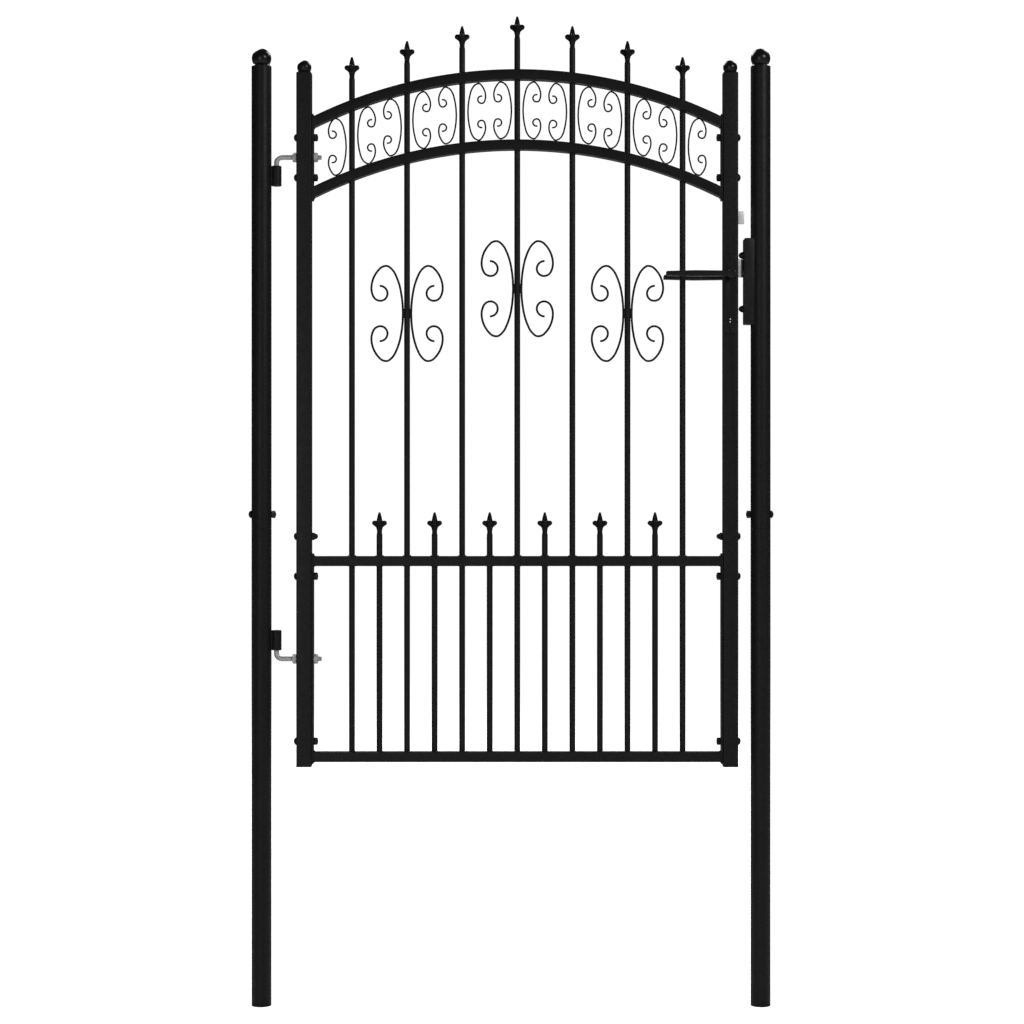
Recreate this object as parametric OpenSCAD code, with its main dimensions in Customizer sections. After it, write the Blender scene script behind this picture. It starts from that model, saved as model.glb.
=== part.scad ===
// Arched garden gate: a hung leaf with scrollwork between two round posts.
// X runs from the hinge post to the latch post, Y away from the street, Z up.
// The origin lies midway between the posts, at the height of their feet.

/* [Posts] */
// Distance between the centre lines of the two posts
post_spacing = 998; // [980:1:1030]
// Outside diameter of a post
post_d = 40; // [40:0.5:42]
// Wall of a post tube
post_wall = 1.5; // [1.2:0.1:2.5]
// Height of the flat top of a post tube
post_h = 1876; // [1860:1:1900]
// Height of the seam between the two tubes of a post
post_seam_z = 953; // [900:1:960]
// Distance from a seam to the bolt above it
seam_bolt_up = 28.7; // [20:0.1:35]
// Length of the reduced end that holds the tube above a seam
spigot_l = 60; // [50:1:80]
// Diameter of the ball on a post
post_ball_d = 39.2; // [36:0.1:40]
// Height of the blind plug in the front of the latch post
plug_z = 1075.6; // [1000:1:1200]

/* [Leaf frame] */
// Clear gap between hinge post and leaf
hinge_gap = 50.5; // [50:0.5:60]
// Clear gap between leaf and latch post
latch_gap = 25.7; // [25.5:0.1:30]
// Height of the underside of the leaf
leaf_z = 477.6; // [470:0.1:480]
// Height of the flat top of a stile tube
stile_top_z = 1862.5; // [1850:0.5:1880]
// Width and depth of a square stile tube
stile_w = 30; // [30:0.5:31]
// Wall of the stile and rail tubes
tube_wall = 1.5; // [1.2:0.1:1.8]
// Height of the seam between the two tubes of a stile
stile_seam_z = 909; // [905:1:912]
// Diameter of the ball on a stile
stile_ball_d = 28.6; // [26:0.1:30]
// Height of the centre line of the mid rail
mid_rail_z = 888.3; // [885:0.1:890]
// Height of the centre line of the bottom rail
bottom_rail_z = 497.2; // [495:0.1:500]
// Visible height of a rail or arch tube
rail_h = 20; // [18:0.5:22]
// Depth of a rail or arch tube
rail_depth = 25; // [22:0.5:28]
// Radius of the centre line of both arches
arch_r = 920; // [900:1:950]
// Height of the crown of the upper arch, on its centre line
upper_arch_z = 1860.3; // [1855:0.1:1865]
// Height of the crown of the lower arch, on its centre line
lower_arch_z = 1720.1; // [1715:0.1:1721]
// Thickness of the flat side strips
strip_t = 4; // [3:0.5:5]
// Lower and upper end of the upper side strips
upper_strip_z = [1609, 1781]; // [1600:1:1790]
// Lower and upper end of the lower side strips
lower_strip_z = [483.4, 903.6]; // [480:0.1:904]

/* [Bars] */
// Diameter of an upright bar
bar_d = 12; // [10:0.5:12]
// Distance between the long bars
bar_pitch = 110.2; // [108:0.1:111]
// Height of the tip of the centre bar's spear
spear_tip_z = 1977.6; // [1970:0.1:1980]
// How far the spear tips drop, from the centre bar outwards
spear_drops = [0, 19.4, 49.2, 81.2]; // [0:0.1:82]
// Height of the tips of the short pickets
picket_tip_z = 986; // [975:1:1000]
// Height of a spear, from the end of its bar to its tip
spear_h = 45; // [42:1:48]
// Full width of a spear across its lobes
spear_w = 30; // [28:0.2:32]

/* [Scrolls] */
// Thickness of the rod of the large scrolls
pair_rod = 4.4; // [3:0.1:4.5]
// Thickness of the rod of the band scrolls
band_rod = 3.4; // [3:0.1:4.5]
// Distance from a bar's axis to the back of a band scroll
band_scroll_off = 11.6; // [11:0.1:14]
// Distance from a bar's axis to the back of a large scroll
pair_scroll_off = 8.25; // [8.25:0.05:10]
// Height of the middle of the centre pair of large scrolls
centre_pair_z = 1433; // [1400:1:1450]
// Height of the middle of the outer pairs of large scrolls
outer_pair_z = 1383.4; // [1350:0.1:1400]

/* [Hinges] */
// Height of the level leg of the top and bottom hinge bolts
hinge_leg_z = [1695.4, 692.8]; // [690:0.1:1700]
// Diameter of a hinge bolt
hinge_bolt_d = 10; // [10:0.1:10.2]
// Outside diameter of a hinge sleeve
sleeve_d = 20; // [18:0.5:20]
// Length of a hinge sleeve
sleeve_l = 40; // [35:1:42]
// Distance from a sleeve's near end to the level leg of its bolt
sleeve_drop = 17.3; // [16:0.1:18]
// Radius of the bend of a hinge bolt, on its centre line
hinge_bend_r = 11; // [10:0.5:12]
// How far a hinge bolt stands out past its side strip
hinge_bolt_end = 15.7; // [14:0.1:20]

/* [Lock] */
// Height of the handle's turning axis
spindle_z = 1459.6; // [1455:0.1:1462]
// Height of the middle of the keyhole
keyhole_z = 1369.6; // [1366:0.1:1372]
// Width of the keyhole
keyhole_w = 4.6; // [4.4:0.1:5]
// Height of the keyhole
keyhole_h = 10.8; // [10.6:0.1:12]
// Distance from the turning axis to the free end of a lever
lever_l = 131; // [120:1:135]
// Distance from the leaf's middle plane to that of a lever
lever_off = 38; // [36:1:40]
// Depth of a lever
lever_depth = 14; // [12:1:16]
// Height of the latch bolt
latch_h = 35.9; // [34:0.1:35.9]
// Height of the dead bolt
dead_h = 24.8; // [22:0.1:26]
// Height of the middle of the dead bolt
dead_z = 1574.8; // [1570:0.1:1576]
// How far the latch bolt stands out of the stile
latch_out = 11.3; // [9:0.1:11.3]
// How far the dead bolt stands out of the stile
dead_out = 12.5; // [10:0.1:13]
// How far the latch bolt draws back
latch_travel = 10; // [8:0.1:10]
// How far the strike box stands out of the latch post
strike_out = 14; // [12:0.1:14]
// Lower and upper end of the strike box
strike_z = [1361, 1533]; // [1350:1:1540]
// Heights of the two screws of the strike box
strike_screw_z = [1392.4, 1499.4]; // [1370:0.1:1520]

/* [Fasteners] */
// Diameter of the frame bolts
bolt_d = 8; // [8:0.1:8.2]
// Diameter of the domed bolt heads
head_d = 15.6; // [14:0.1:16]
// Height of the domed bolt heads
head_h = 6; // [5:0.1:6.5]
// Width across the flats of a frame nut
nut_af = 13; // [13:0.1:14]
// Heights of the frame bolts that hold the upper side strips
upper_bolt_z = [1655, 1735]; // [1620:1:1770]
// Heights of the frame bolts that hold the lower side strips
lower_bolt_z = [528, 858]; // [500:1:880]

/* [Hidden] */

$fn = 64;
black = [0.11, 0.11, 0.12];
zinc = [0.66, 0.66, 0.67];

// Gap left all round between two parts that slip together
slip = 0.1;
// Radial gap of a turning fit
running = 0.05;
// Small overlap that lets one cut run past a face
past = 1;

hinge_post_x = -post_spacing / 2;
latch_post_x = post_spacing / 2;
hinge_stile_x = hinge_post_x + post_d / 2 + hinge_gap + stile_w / 2;
latch_stile_x = latch_post_x - post_d / 2 - latch_gap - stile_w / 2;
leaf_x = (hinge_stile_x + latch_stile_x) / 2;
// Half of the clear width between the two rows of side strips
bay = (latch_stile_x - hinge_stile_x) / 2 - stile_w / 2 - strip_t;
hinge_axis_x = hinge_post_x + post_d / 2 + sleeve_d / 2;
stile_in = stile_w / 2 - tube_wall;
bolt_r = bolt_d / 2;
bolt_hole_r = bolt_r + 2 * slip;
hinge_r = hinge_bolt_d / 2;
nut_h = 8;
acorn_h = 12.6;

// Position of bar number k, counted from the middle of the leaf
function bar_x(k) = leaf_x + k * bar_pitch;
LONG = [-3:3];
SHORT = [-2.5:1:2.5];
EVERY = [-3:0.5:3];

// ---------- shared shapes ----------

// Points of a quarter ellipse from the rim to the crown of a dome
function dome(r, h, n = 8) = [for (i = [0:n]) [r * cos(90 * i / n), h * sin(90 * i / n)]];

// Solid dome standing on the XY plane
module dome_solid(r, h) {
    rotate_extrude() polygon(concat([[0, 0]], dome(r, h)));
}

// Lays a part that stands along Z so that it points along X; side is 1 or -1
module along_x(x, z, side) {
    translate([x, 0, z]) rotate([0, 90 * side, 0]) children();
}

// Round hole right through along X at height z
module hole_x(x, z, r, l = 100) {
    translate([x - l / 2, 0, z]) rotate([0, 90, 0]) cylinder(r = r, h = l);
}

// Round hole right through along Y
module hole_y(x, z, r, l = 100) {
    translate([x, l / 2, z]) rotate([90, 0, 0]) cylinder(r = r, h = l);
}

// Bolt whose domed head sits above the XY plane and whose shank hangs below it
module dome_bolt(head_r, head_t, r, l) {
    union() {
        dome_solid(head_r, head_t);
        translate([0, 0, -l]) cylinder(r = r, h = l + 0.5);
    }
}

// Hexagon nut standing on the XY plane
module hex_nut(af, h, bore_r) {
    difference() {
        intersection() {
            cylinder(r = af / sqrt(3), h = h, $fn = 6);
            cylinder(r = af / 2 + 0.7, h = h);
        }
        translate([0, 0, -past]) cylinder(r = bore_r, h = h + 2 * past);
    }
}

// Acorn nut: a hexagon with a closed dome
module acorn_nut(af, h, bore_r) {
    hex_h = h - af / 2;
    difference() {
        union() {
            cylinder(r = af / sqrt(3), h = hex_h, $fn = 6);
            translate([0, 0, hex_h - 0.1]) dome_solid(af / 2 - 0.2, af / 2 + 0.1);
        }
        translate([0, 0, -past]) cylinder(r = bore_r, h = hex_h + 1.5 + past);
    }
}

// Upright square block centred on a point of the XY plane
module block(x, w, depth, z0, z1) {
    translate([x - w / 2, -depth / 2, z0]) cube([w, depth, z1 - z0]);
}

// ---------- posts ----------

module post_lower(x) {
    spigot_r = post_d / 2 - post_wall - slip;
    color(black) difference() {
        union() {
            translate([x, 0, 0]) cylinder(d = post_d, h = post_seam_z);
            translate([x, 0, 0]) cylinder(r = spigot_r, h = post_seam_z + spigot_l);
        }
        translate([x, 0, -past]) cylinder(r = post_d / 2 - post_wall, h = post_seam_z - 8 + past);
        translate([x, 0, 0]) cylinder(r = spigot_r - post_wall, h = post_seam_z + spigot_l + past);
        hole_x(x, post_seam_z + seam_bolt_up, bolt_hole_r);
    }
}

module post_upper_tube(x) {
    translate([x, 0, post_seam_z]) difference() {
        cylinder(d = post_d, h = post_h - post_seam_z);
        translate([0, 0, -past])
            cylinder(r = post_d / 2 - post_wall, h = post_h - post_seam_z + 2 * past);
        hole_x(0, seam_bolt_up, bolt_hole_r);
    }
}

module hinge_post_upper() {
    color(black) post_upper_tube(hinge_post_x);
}

module latch_post_upper() {
    color(black) difference() {
        post_upper_tube(latch_post_x);
        for (z = strike_screw_z)
            hole_x(latch_post_x - post_d / 2, z, strike_shank_r + slip, post_d / 2);
        translate([latch_post_x, 0, plug_z]) rotate([90, 0, 0])
            cylinder(r = plug_shank_r + slip, h = post_d);
    }
}

// Ball cap with a tapered shoulder and a plug that enters the tube
module post_cap(x) {
    shoulder_h = 5.6;
    neck_r = 15.6;
    plug_h = 18;
    ball_up = 17.4;
    color(black) translate([x, 0, post_h]) union() {
        translate([0, 0, -plug_h]) cylinder(r = post_d / 2 - post_wall - slip, h = plug_h + 0.5);
        cylinder(r1 = post_d / 2, r2 = neck_r, h = shoulder_h);
        difference() {
            translate([0, 0, ball_up]) sphere(d = post_ball_d);
            translate([0, 0, 0.5 - post_d]) cylinder(r = post_d, h = post_d);
        }
    }
}

module post_bolts() {
    reach = post_d + nut_h + 1;
    z = post_seam_z + seam_bolt_up;
    color(black) {
        along_x(hinge_post_x - post_d / 2, z, -1) dome_bolt(head_d / 2, head_h, bolt_r, reach);
        along_x(latch_post_x + post_d / 2, z, 1) dome_bolt(head_d / 2, head_h, bolt_r, reach);
    }
}

module post_nuts() {
    z = post_seam_z + seam_bolt_up;
    color(black) {
        along_x(hinge_post_x + post_d / 2, z, 1) hex_nut(nut_af, nut_h, bolt_r + running);
        along_x(latch_post_x - post_d / 2, z, -1) hex_nut(nut_af, nut_h, bolt_r + running);
    }
}

// Hinge sleeve with the weld that joins it to the post
module hinge_sleeve(z0) {
    weld_w = 8;
    color(black) translate([hinge_axis_x, 0, z0]) linear_extrude(sleeve_l) difference() {
        union() {
            circle(d = sleeve_d);
            translate([-sleeve_d / 2 - 2, -weld_w / 2]) square([8, weld_w]);
        }
        circle(r = hinge_r + running);
        translate([hinge_post_x - hinge_axis_x, 0]) circle(r = post_d / 2 + 0.02);
    }
}

strike_shank_r = 3;
strike_head_r = 7.2;
strike_head_h = 10;
strike_depth = 30;
plug_shank_r = 2.5;

// Folded keeper, hollow, shaped to the round post, with a slot for the latch bolt
module strike_box() {
    sheet = 2.5;
    face_x = latch_post_x - post_d / 2 - strike_out;
    z0 = strike_z[0];
    z1 = strike_z[1];
    corner = 3;
    slot_z0 = latch_z - latch_h / 2 - 1.5;
    slot_z1 = latch_z + latch_h / 2;
    color(black) difference() {
        rotate([90, 0, 0]) translate([0, 0, -strike_depth / 2]) linear_extrude(strike_depth)
            union() {
                translate([face_x + corner, z0]) square([25 - corner, z1 - z0]);
                translate([face_x, z0 + corner]) square([25, z1 - z0 - 2 * corner]);
                for (z = [z0 + corner, z1 - corner])
                    translate([face_x + corner, z]) circle(r = corner);
            }
        translate([latch_post_x, 0, z0 - past])
            cylinder(r = post_d / 2 + 0.02, h = z1 - z0 + 2 * past);
        block(face_x + sheet + 20, 40, strike_depth - 2 * sheet, z0 + sheet, z1 - sheet);
        block(face_x, 4 * sheet, 15, slot_z0, slot_z1);
        for (z = strike_screw_z)
            hole_x(face_x, z, strike_shank_r + slip, 20);
    }
}

module strike_screws() {
    face_x = latch_post_x - post_d / 2 - strike_out;
    color(black) for (z = strike_screw_z)
        along_x(face_x, z, -1)
            dome_bolt(strike_head_r, strike_head_h, strike_shank_r, strike_out + 9);
}

module post_plug() {
    color(black) translate([latch_post_x, -post_d / 2, plug_z]) rotate([90, 0, 0])
        dome_bolt(3.5, 1.8, plug_shank_r, 5);
}

// ---------- leaf frame ----------

module stile_lower(x, hinge_side) {
    spigot_w = stile_w - 2 * tube_wall - 2 * slip;
    color(black) difference() {
        union() {
            block(x, stile_w, stile_w, leaf_z, stile_seam_z);
            block(x, spigot_w, spigot_w, leaf_z, stile_seam_z + spigot_l);
        }
        block(x, 2 * stile_in, 2 * stile_in, leaf_z - past, stile_seam_z - 8);
        block(x, spigot_w - 2 * tube_wall, spigot_w - 2 * tube_wall,
              leaf_z, stile_seam_z + spigot_l + past);
        for (z = concat(lower_bolt_z, [stile_seam_z + seam_bolt_up]))
            hole_x(x, z, bolt_hole_r);
        if (hinge_side)
            hole_x(x, hinge_leg_z[1], hinge_r + 2 * slip);
    }
}

module stile_upper_tube(x) {
    difference() {
        block(x, stile_w, stile_w, stile_seam_z, stile_top_z);
        block(x, 2 * stile_in, 2 * stile_in, stile_seam_z - past, stile_top_z + past);
        for (z = concat(upper_bolt_z, [stile_seam_z + seam_bolt_up]))
            hole_x(x, z, bolt_hole_r);
    }
}

module hinge_stile_upper() {
    color(black) difference() {
        stile_upper_tube(hinge_stile_x);
        hole_x(hinge_stile_x, hinge_leg_z[0], hinge_r + 2 * slip);
    }
}

module latch_stile_upper() {
    color(black) difference() {
        stile_upper_tube(latch_stile_x);
        block(latch_stile_x + stile_w / 2, 10, face_w + 2 * slip, face_z0 - slip, face_z1 + slip);
        hole_y(latch_stile_x, spindle_z, neck_r + 0.6);
        keyhole(false);
        backplate_holes();
    }
}

// Ball cap with a tapered square shoulder and a plug that enters the tube
module stile_cap(x) {
    shoulder_h = 5;
    neck_w = 21;
    plug_h = 16;
    plug_w = stile_w - 2 * tube_wall - 2 * slip;
    ball_up = 12.8;
    taper = [[-stile_w / 2, 0], [stile_w / 2, 0], [neck_w / 2, shoulder_h], [-neck_w / 2, shoulder_h]];
    color(black) translate([x, 0, stile_top_z]) union() {
        block(0, plug_w, plug_w, -plug_h, 0.5);
        intersection() {
            rotate([90, 0, 0]) translate([0, 0, -stile_w]) linear_extrude(2 * stile_w) polygon(taper);
            rotate([90, 0, 90]) translate([0, 0, -stile_w]) linear_extrude(2 * stile_w) polygon(taper);
        }
        difference() {
            translate([0, 0, ball_up]) sphere(d = stile_ball_d);
            translate([0, 0, 0.5 - stile_w]) cylinder(r = stile_w, h = stile_w);
        }
    }
}

// Flat bar bolted to the inner face of a stile; side is -1 at the hinges, 1 at the latch
module side_strip(side, span, bolts, leg_z) {
    x = leaf_x + side * (bay + strip_t / 2);
    color(black) difference() {
        block(x, strip_t, rail_depth, span[0], span[1]);
        for (z = bolts)
            hole_x(x, z, bolt_hole_r, 20);
        if (side < 0)
            hole_x(x, leg_z, hinge_r + 2 * slip, 20);
    }
}

module upper_strip(side) {
    side_strip(side, upper_strip_z, upper_bolt_z, hinge_leg_z[0]);
}

module lower_strip(side) {
    side_strip(side, lower_strip_z, lower_bolt_z, hinge_leg_z[1]);
}

// Hollow tube bent to an arc, cut off upright at both strips, pierced by the long bars
module arch(crown_z) {
    ring_in = arch_r - rail_h / 2;
    half_angle = asin(bay / arch_r) + 3;
    color(black) difference() {
        intersection() {
            translate([leaf_x, 0, crown_z - arch_r]) rotate([90, 0, 0])
                rotate([0, 0, 90 - half_angle]) rotate_extrude(angle = 2 * half_angle, $fn = 720)
                    difference() {
                        translate([ring_in, -rail_depth / 2]) square([rail_h, rail_depth]);
                        translate([ring_in + tube_wall, tube_wall - rail_depth / 2])
                            square([rail_h - 2 * tube_wall, rail_depth - 2 * tube_wall]);
                    }
            block(leaf_x, 2 * bay - 0.1, 2 * rail_depth, crown_z - arch_r / 2, crown_z + rail_h);
        }
        for (k = LONG)
            translate([bar_x(k), 0, crown_z - arch_r / 2])
                cylinder(r = bar_d / 2 + running, h = arch_r);
    }
}

module rail(z) {
    difference() {
        block(leaf_x, 2 * bay - 0.1, rail_depth, z - rail_h / 2, z + rail_h / 2);
        block(leaf_x, 2 * bay + 2, rail_depth - 2 * tube_wall,
              z - rail_h / 2 + tube_wall, z + rail_h / 2 - tube_wall);
    }
}

module mid_rail() {
    color(black) difference() {
        rail(mid_rail_z);
        for (k = EVERY)
            translate([bar_x(k), 0, mid_rail_z - rail_h])
                cylinder(r = bar_d / 2 + running, h = 2 * rail_h);
    }
}

module bottom_rail() {
    color(black) difference() {
        rail(bottom_rail_z);
        for (k = EVERY)
            translate([bar_x(k), 0, bottom_rail_z])
                cylinder(r = bar_d / 2 + running, h = rail_h);
    }
}

// ---------- bars and spears ----------

function long_tip(k) = spear_tip_z - spear_drops[abs(k)];

module upright(k, z0, z1) {
    translate([bar_x(k), 0, z0]) cylinder(d = bar_d, h = z1 - z0);
}

module long_bars() {
    color(black) for (k = LONG)
        upright(k, mid_rail_z + 0.5, long_tip(k) - spear_h);
}

module lower_bars() {
    color(black) for (k = LONG)
        upright(k, bottom_rail_z, mid_rail_z);
}

module pickets() {
    color(black) for (k = SHORT)
        upright(k, bottom_rail_z, picket_tip_z - spear_h);
}

// Points of an arc about the origin, in degrees from the x axis
function lobe(r, from, to, n = 6) =
    [for (i = [0:n]) let(a = from + (to - from) * i / n) [r * cos(a), r * sin(a)]];

// Right half of the blade of a spear, from the lobes up to the tip
BLADE = [
    [5.8, spear_h - 17], [5.3, spear_h - 14], [4.4, spear_h - 9.5], [2.9, spear_h - 3.8], [0.4, spear_h]];

// One flat of a spear: a half outline and its mirror image
module spear_flat() {
    lobe_r = 4.9;
    lobe_z = spear_h - 21.6;
    lobe_x = spear_w / 2 - lobe_r;
    side = concat(
        [[0, 0], [5.1, 0], [5.1, 9], [6.4, 14], [8.8, 16.6]],
        [for (p = lobe(lobe_r, -62, 95)) p + [lobe_x, lobe_z]],
        BLADE, [[0, spear_h]]);
    rotate([90, 0, 0]) translate([0, 0, -2.6]) linear_extrude(5.2) union() {
        polygon(side);
        mirror([1, 0]) polygon(side);
    }
}

// Cast spear: a socket, and two crossed flats with lobes below a round blade
module spear(x, tip_z) {
    translate([x, 0, tip_z - spear_h]) union() {
        rotate_extrude() polygon(concat(
            [[0, 0], [5.9, 0], [5.9, 1], [5.1, 3], [5.1, 8], [6, 11], [6.2, 14], [6, 24]],
            BLADE, [[0, spear_h]]));
        spear_flat();
        rotate([0, 0, 90]) spear_flat();
    }
}

module long_bar_spears() {
    color(black) for (k = LONG) spear(bar_x(k), long_tip(k));
}

module picket_spears() {
    color(black) for (k = SHORT) spear(bar_x(k), picket_tip_z);
}

// ---------- scrolls ----------

// Upper half of each scroll, as tangent arcs from the middle of its back: radius, sweep
PAIR_ARCS = [[243, 11.1], [130, 15.1], [38.2, 27.4], [10.9, 37.8], [17.9, 42.1],
             [56, 43.4], [36.5, 30.6], [15.7, 53], [14.4, 92.9], [15.4, 93.2]];
BAND_ARCS = [[144, 15.7], [39.1, 15.8], [17.3, 42.9], [5.8, 62.2], [36.3, 30.7],
             [28.4, 35.1], [6, 52.9], [7.5, 95.1], [7, 109.7]];

function heading(arcs, k) = k == 0 ? 90 : heading(arcs, k - 1) - arcs[k - 1][1];
function arc_step(r, h, a) = r * [sin(h) - sin(h - a), cos(h - a) - cos(h)];
function arc_start(arcs, k) =
    k == 0 ? [0, 0]
           : arc_start(arcs, k - 1) + arc_step(arcs[k - 1][0], heading(arcs, k - 1), arcs[k - 1][1]);

// Points of the half scroll with the direction of travel at each: [x, z, heading]
function half_scroll(arcs, turn = 15, longest = 12) = [
    for (k = [0:len(arcs) - 1])
        let(h = heading(arcs, k), start = arc_start(arcs, k),
            n = ceil(max(arcs[k][1] / turn, arcs[k][0] * arcs[k][1] * PI / 180 / longest)))
        for (i = [k == 0 ? 0 : 1:n])
            let(a = arcs[k][1] * i / n, p = start + arc_step(arcs[k][0], h, a))
            [p[0], p[1], h - a]];

function whole_scroll(half) = concat(
    [for (i = [len(half) - 1:-1:1]) [half[i][0], -half[i][1], 180 - half[i][2]]], half);

function beside(p, d) = [p[0] - d * sin(p[2]), p[1] + d * cos(p[2])];

// One scroll lying in the leaf's plane, its back at the origin and its curls towards +X
module scroll(arcs, rod) {
    line = whole_scroll(half_scroll(arcs));
    last = len(line) - 1;
    outline = concat(
        [for (p = line) beside(p, rod / 2)],
        [for (i = [last:-1:0]) beside(line[i], -rod / 2)]);
    rotate([90, 0, 0]) translate([0, 0, -rod / 2]) linear_extrude(rod) polygon(outline);
}

module scroll_pair(k, z) {
    color(black) for (side = [-1, 1])
        translate([bar_x(k) + side * pair_scroll_off, 0, z])
            mirror([side < 0 ? 1 : 0, 0, 0]) scroll(PAIR_ARCS, pair_rod);
}

// Height of the middle of the arched band at a distance dx from the middle of the leaf
function band_z(dx) =
    (upper_arch_z + lower_arch_z) / 2 - arch_r + sqrt(pow(arch_r, 2) - pow(dx, 2));

module band_scroll(k, side) {
    reach = band_scroll_off + 18.2;
    translate([bar_x(k) + side * band_scroll_off, 0, band_z(k * bar_pitch + side * reach)])
        mirror([side < 0 ? 1 : 0, 0, 0]) scroll(BAND_ARCS, band_rod);
}

// The curved space between the arches that the band scrolls are trimmed to
module band_space() {
    gap = 0.02;
    difference() {
        translate([leaf_x, band_rod, upper_arch_z - arch_r]) rotate([90, 0, 0])
            cylinder(r = arch_r - rail_h / 2 - gap, h = 2 * band_rod, $fn = 720);
        translate([leaf_x, 2 * band_rod, lower_arch_z - arch_r]) rotate([90, 0, 0])
            cylinder(r = arch_r + rail_h / 2 + gap, h = 4 * band_rod, $fn = 720);
    }
}

// Seven scrolls of one half of the band, welded where they meet the arches; half is -1 or 1
module band_scrolls(half) {
    color(black) intersection() {
        union() {
            band_scroll(0, half);
            for (k = [1:3], side = [-1, 1]) band_scroll(half * k, side);
        }
        band_space();
    }
}

// ---------- frame fasteners ----------

module frame_bolt(side, z, past_stile) {
    x = side < 0 ? hinge_stile_x : latch_stile_x;
    along_x(x + side * stile_w / 2, z, side)
        dome_bolt(head_d / 2, head_h, bolt_r, stile_w + past_stile);
}

module frame_bolts() {
    color(black) for (side = [-1, 1]) {
        for (z = concat(lower_bolt_z, upper_bolt_z))
            frame_bolt(side, z, strip_t + nut_h + 0.7);
        frame_bolt(side, stile_seam_z + seam_bolt_up, 6);
    }
}

module frame_nuts() {
    color(black) for (side = [-1, 1], z = concat(lower_bolt_z, upper_bolt_z))
        along_x(leaf_x + side * bay, z, -side) hex_nut(nut_af, nut_h, bolt_r + running);
}

module acorn_nuts() {
    color(black) for (side = [-1, 1])
        along_x(leaf_x + side * (bay + strip_t), stile_seam_z + seam_bolt_up, -side)
            acorn_nut(nut_af, acorn_h, bolt_r + running);
}

// ---------- hinge bolts ----------

// Rod bent through a right angle: one leg down the axis, one leg through stile and strip
module hinge_bolt(leg_z, up) {
    leg_end = leaf_x - bay + hinge_bolt_end;
    color(zinc) translate([hinge_axis_x, 0, leg_z]) mirror([0, 0, up ? 0 : 1]) union() {
        translate([0, 0, -sleeve_drop - sleeve_l + 2])
            cylinder(r = hinge_r, h = sleeve_drop + sleeve_l - 2 - hinge_bend_r + 0.01);
        translate([hinge_bend_r, 0, -hinge_bend_r]) rotate([90, 0, 0]) rotate([0, 0, 90])
            rotate_extrude(angle = 90) translate([hinge_bend_r, 0]) circle(r = hinge_r);
        translate([hinge_bend_r - 0.01, 0, 0]) rotate([0, 90, 0])
            cylinder(r = hinge_r, h = leg_end - hinge_axis_x - hinge_bend_r);
    }
}

module hinge_nuts() {
    af = 17;
    h = 8.5;
    color(zinc) for (z = hinge_leg_z) {
        along_x(hinge_stile_x - stile_w / 2, z, -1) hex_nut(af, h, hinge_r + running);
        along_x(leaf_x - bay, z, 1) hex_nut(af, h, hinge_r + running);
    }
}

// ---------- lock ----------

latch_z = spindle_z + 14.25;
face_w = 20;
face_t = 3;
face_z0 = keyhole_z - 24;
face_z1 = dead_z + 30;
face_back_x = latch_stile_x + stile_w / 2 - face_t;
case_x0 = latch_stile_x - stile_in + 1;
case_y = 9.5;
case_wall = 1.5;
end_block = 8;
case_z0 = face_z0 + 4;
case_z1 = face_z1 - 4;
neck_r = 8;
journal_r = 5.5;
hub_r = 6.2;
hub_y = 4;
square_w = 7;
plate_w = 26;
plate_t = 3;
plate_z0 = keyhole_z - 27;
plate_z1 = spindle_z + 40;
plate_screw_z = [plate_z0 + 8, plate_z1 - 8];
bolt_half = 6;
spring_z = latch_z + 10.4;
spring_r = 2.4;
spring_wire = 0.9;
pocket_r = 3.1;
pocket_x = latch_stile_x + 18.7;
ward_h = 1.6;

// Cut for the keyhole right through along Y; a ward leaves a bar across its middle
module keyhole(ward) {
    difference() {
        block(latch_stile_x, keyhole_w, 100, keyhole_z - keyhole_h / 2, keyhole_z + keyhole_h / 2);
        if (ward)
            block(latch_stile_x, 2 * keyhole_w, 110, keyhole_z - ward_h / 2, keyhole_z + ward_h / 2);
    }
}

module backplate_holes() {
    for (z = plate_screw_z) hole_y(latch_stile_x, z, 2 + slip);
}

// Tray of the lock, open on the far side, with a solid block at each end
module lock_case() {
    mid_x = (case_x0 + face_back_x) / 2;
    case_w = face_back_x - case_x0 - slip;
    color(zinc) difference() {
        block(mid_x, case_w, 2 * case_y, case_z0, case_z1);
        translate([case_x0 + case_wall, -case_y + case_wall, case_z0 + end_block])
            cube([case_w, 2 * case_y, case_z1 - case_z0 - 2 * end_block]);
        translate([case_x0 - past, case_y - case_wall, case_z0 - past])
            cube([case_w + 5, 2 * case_wall, case_z1 - case_z0 + 2 * past]);
        hole_y(latch_stile_x, spindle_z, journal_r + running);
        keyhole(true);
        for (z = [case_z0 + end_block / 2, case_z1 - end_block / 2])
            hole_x(face_back_x, z, 2 + slip, 24);
        for (z = plate_screw_z) hole_y(latch_stile_x, z, 2 + slip);
    }
}

module lock_cover() {
    mid_x = (case_x0 + face_back_x) / 2;
    case_w = face_back_x - case_x0 - slip;
    color(zinc) difference() {
        translate([mid_x - case_w / 2, case_y - case_wall + 0.05, case_z0])
            cube([case_w, case_wall, case_z1 - case_z0]);
        hole_y(latch_stile_x, spindle_z, journal_r + running);
        keyhole(true);
        for (z = plate_screw_z) hole_y(latch_stile_x, z, 2 + slip);
    }
}

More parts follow.
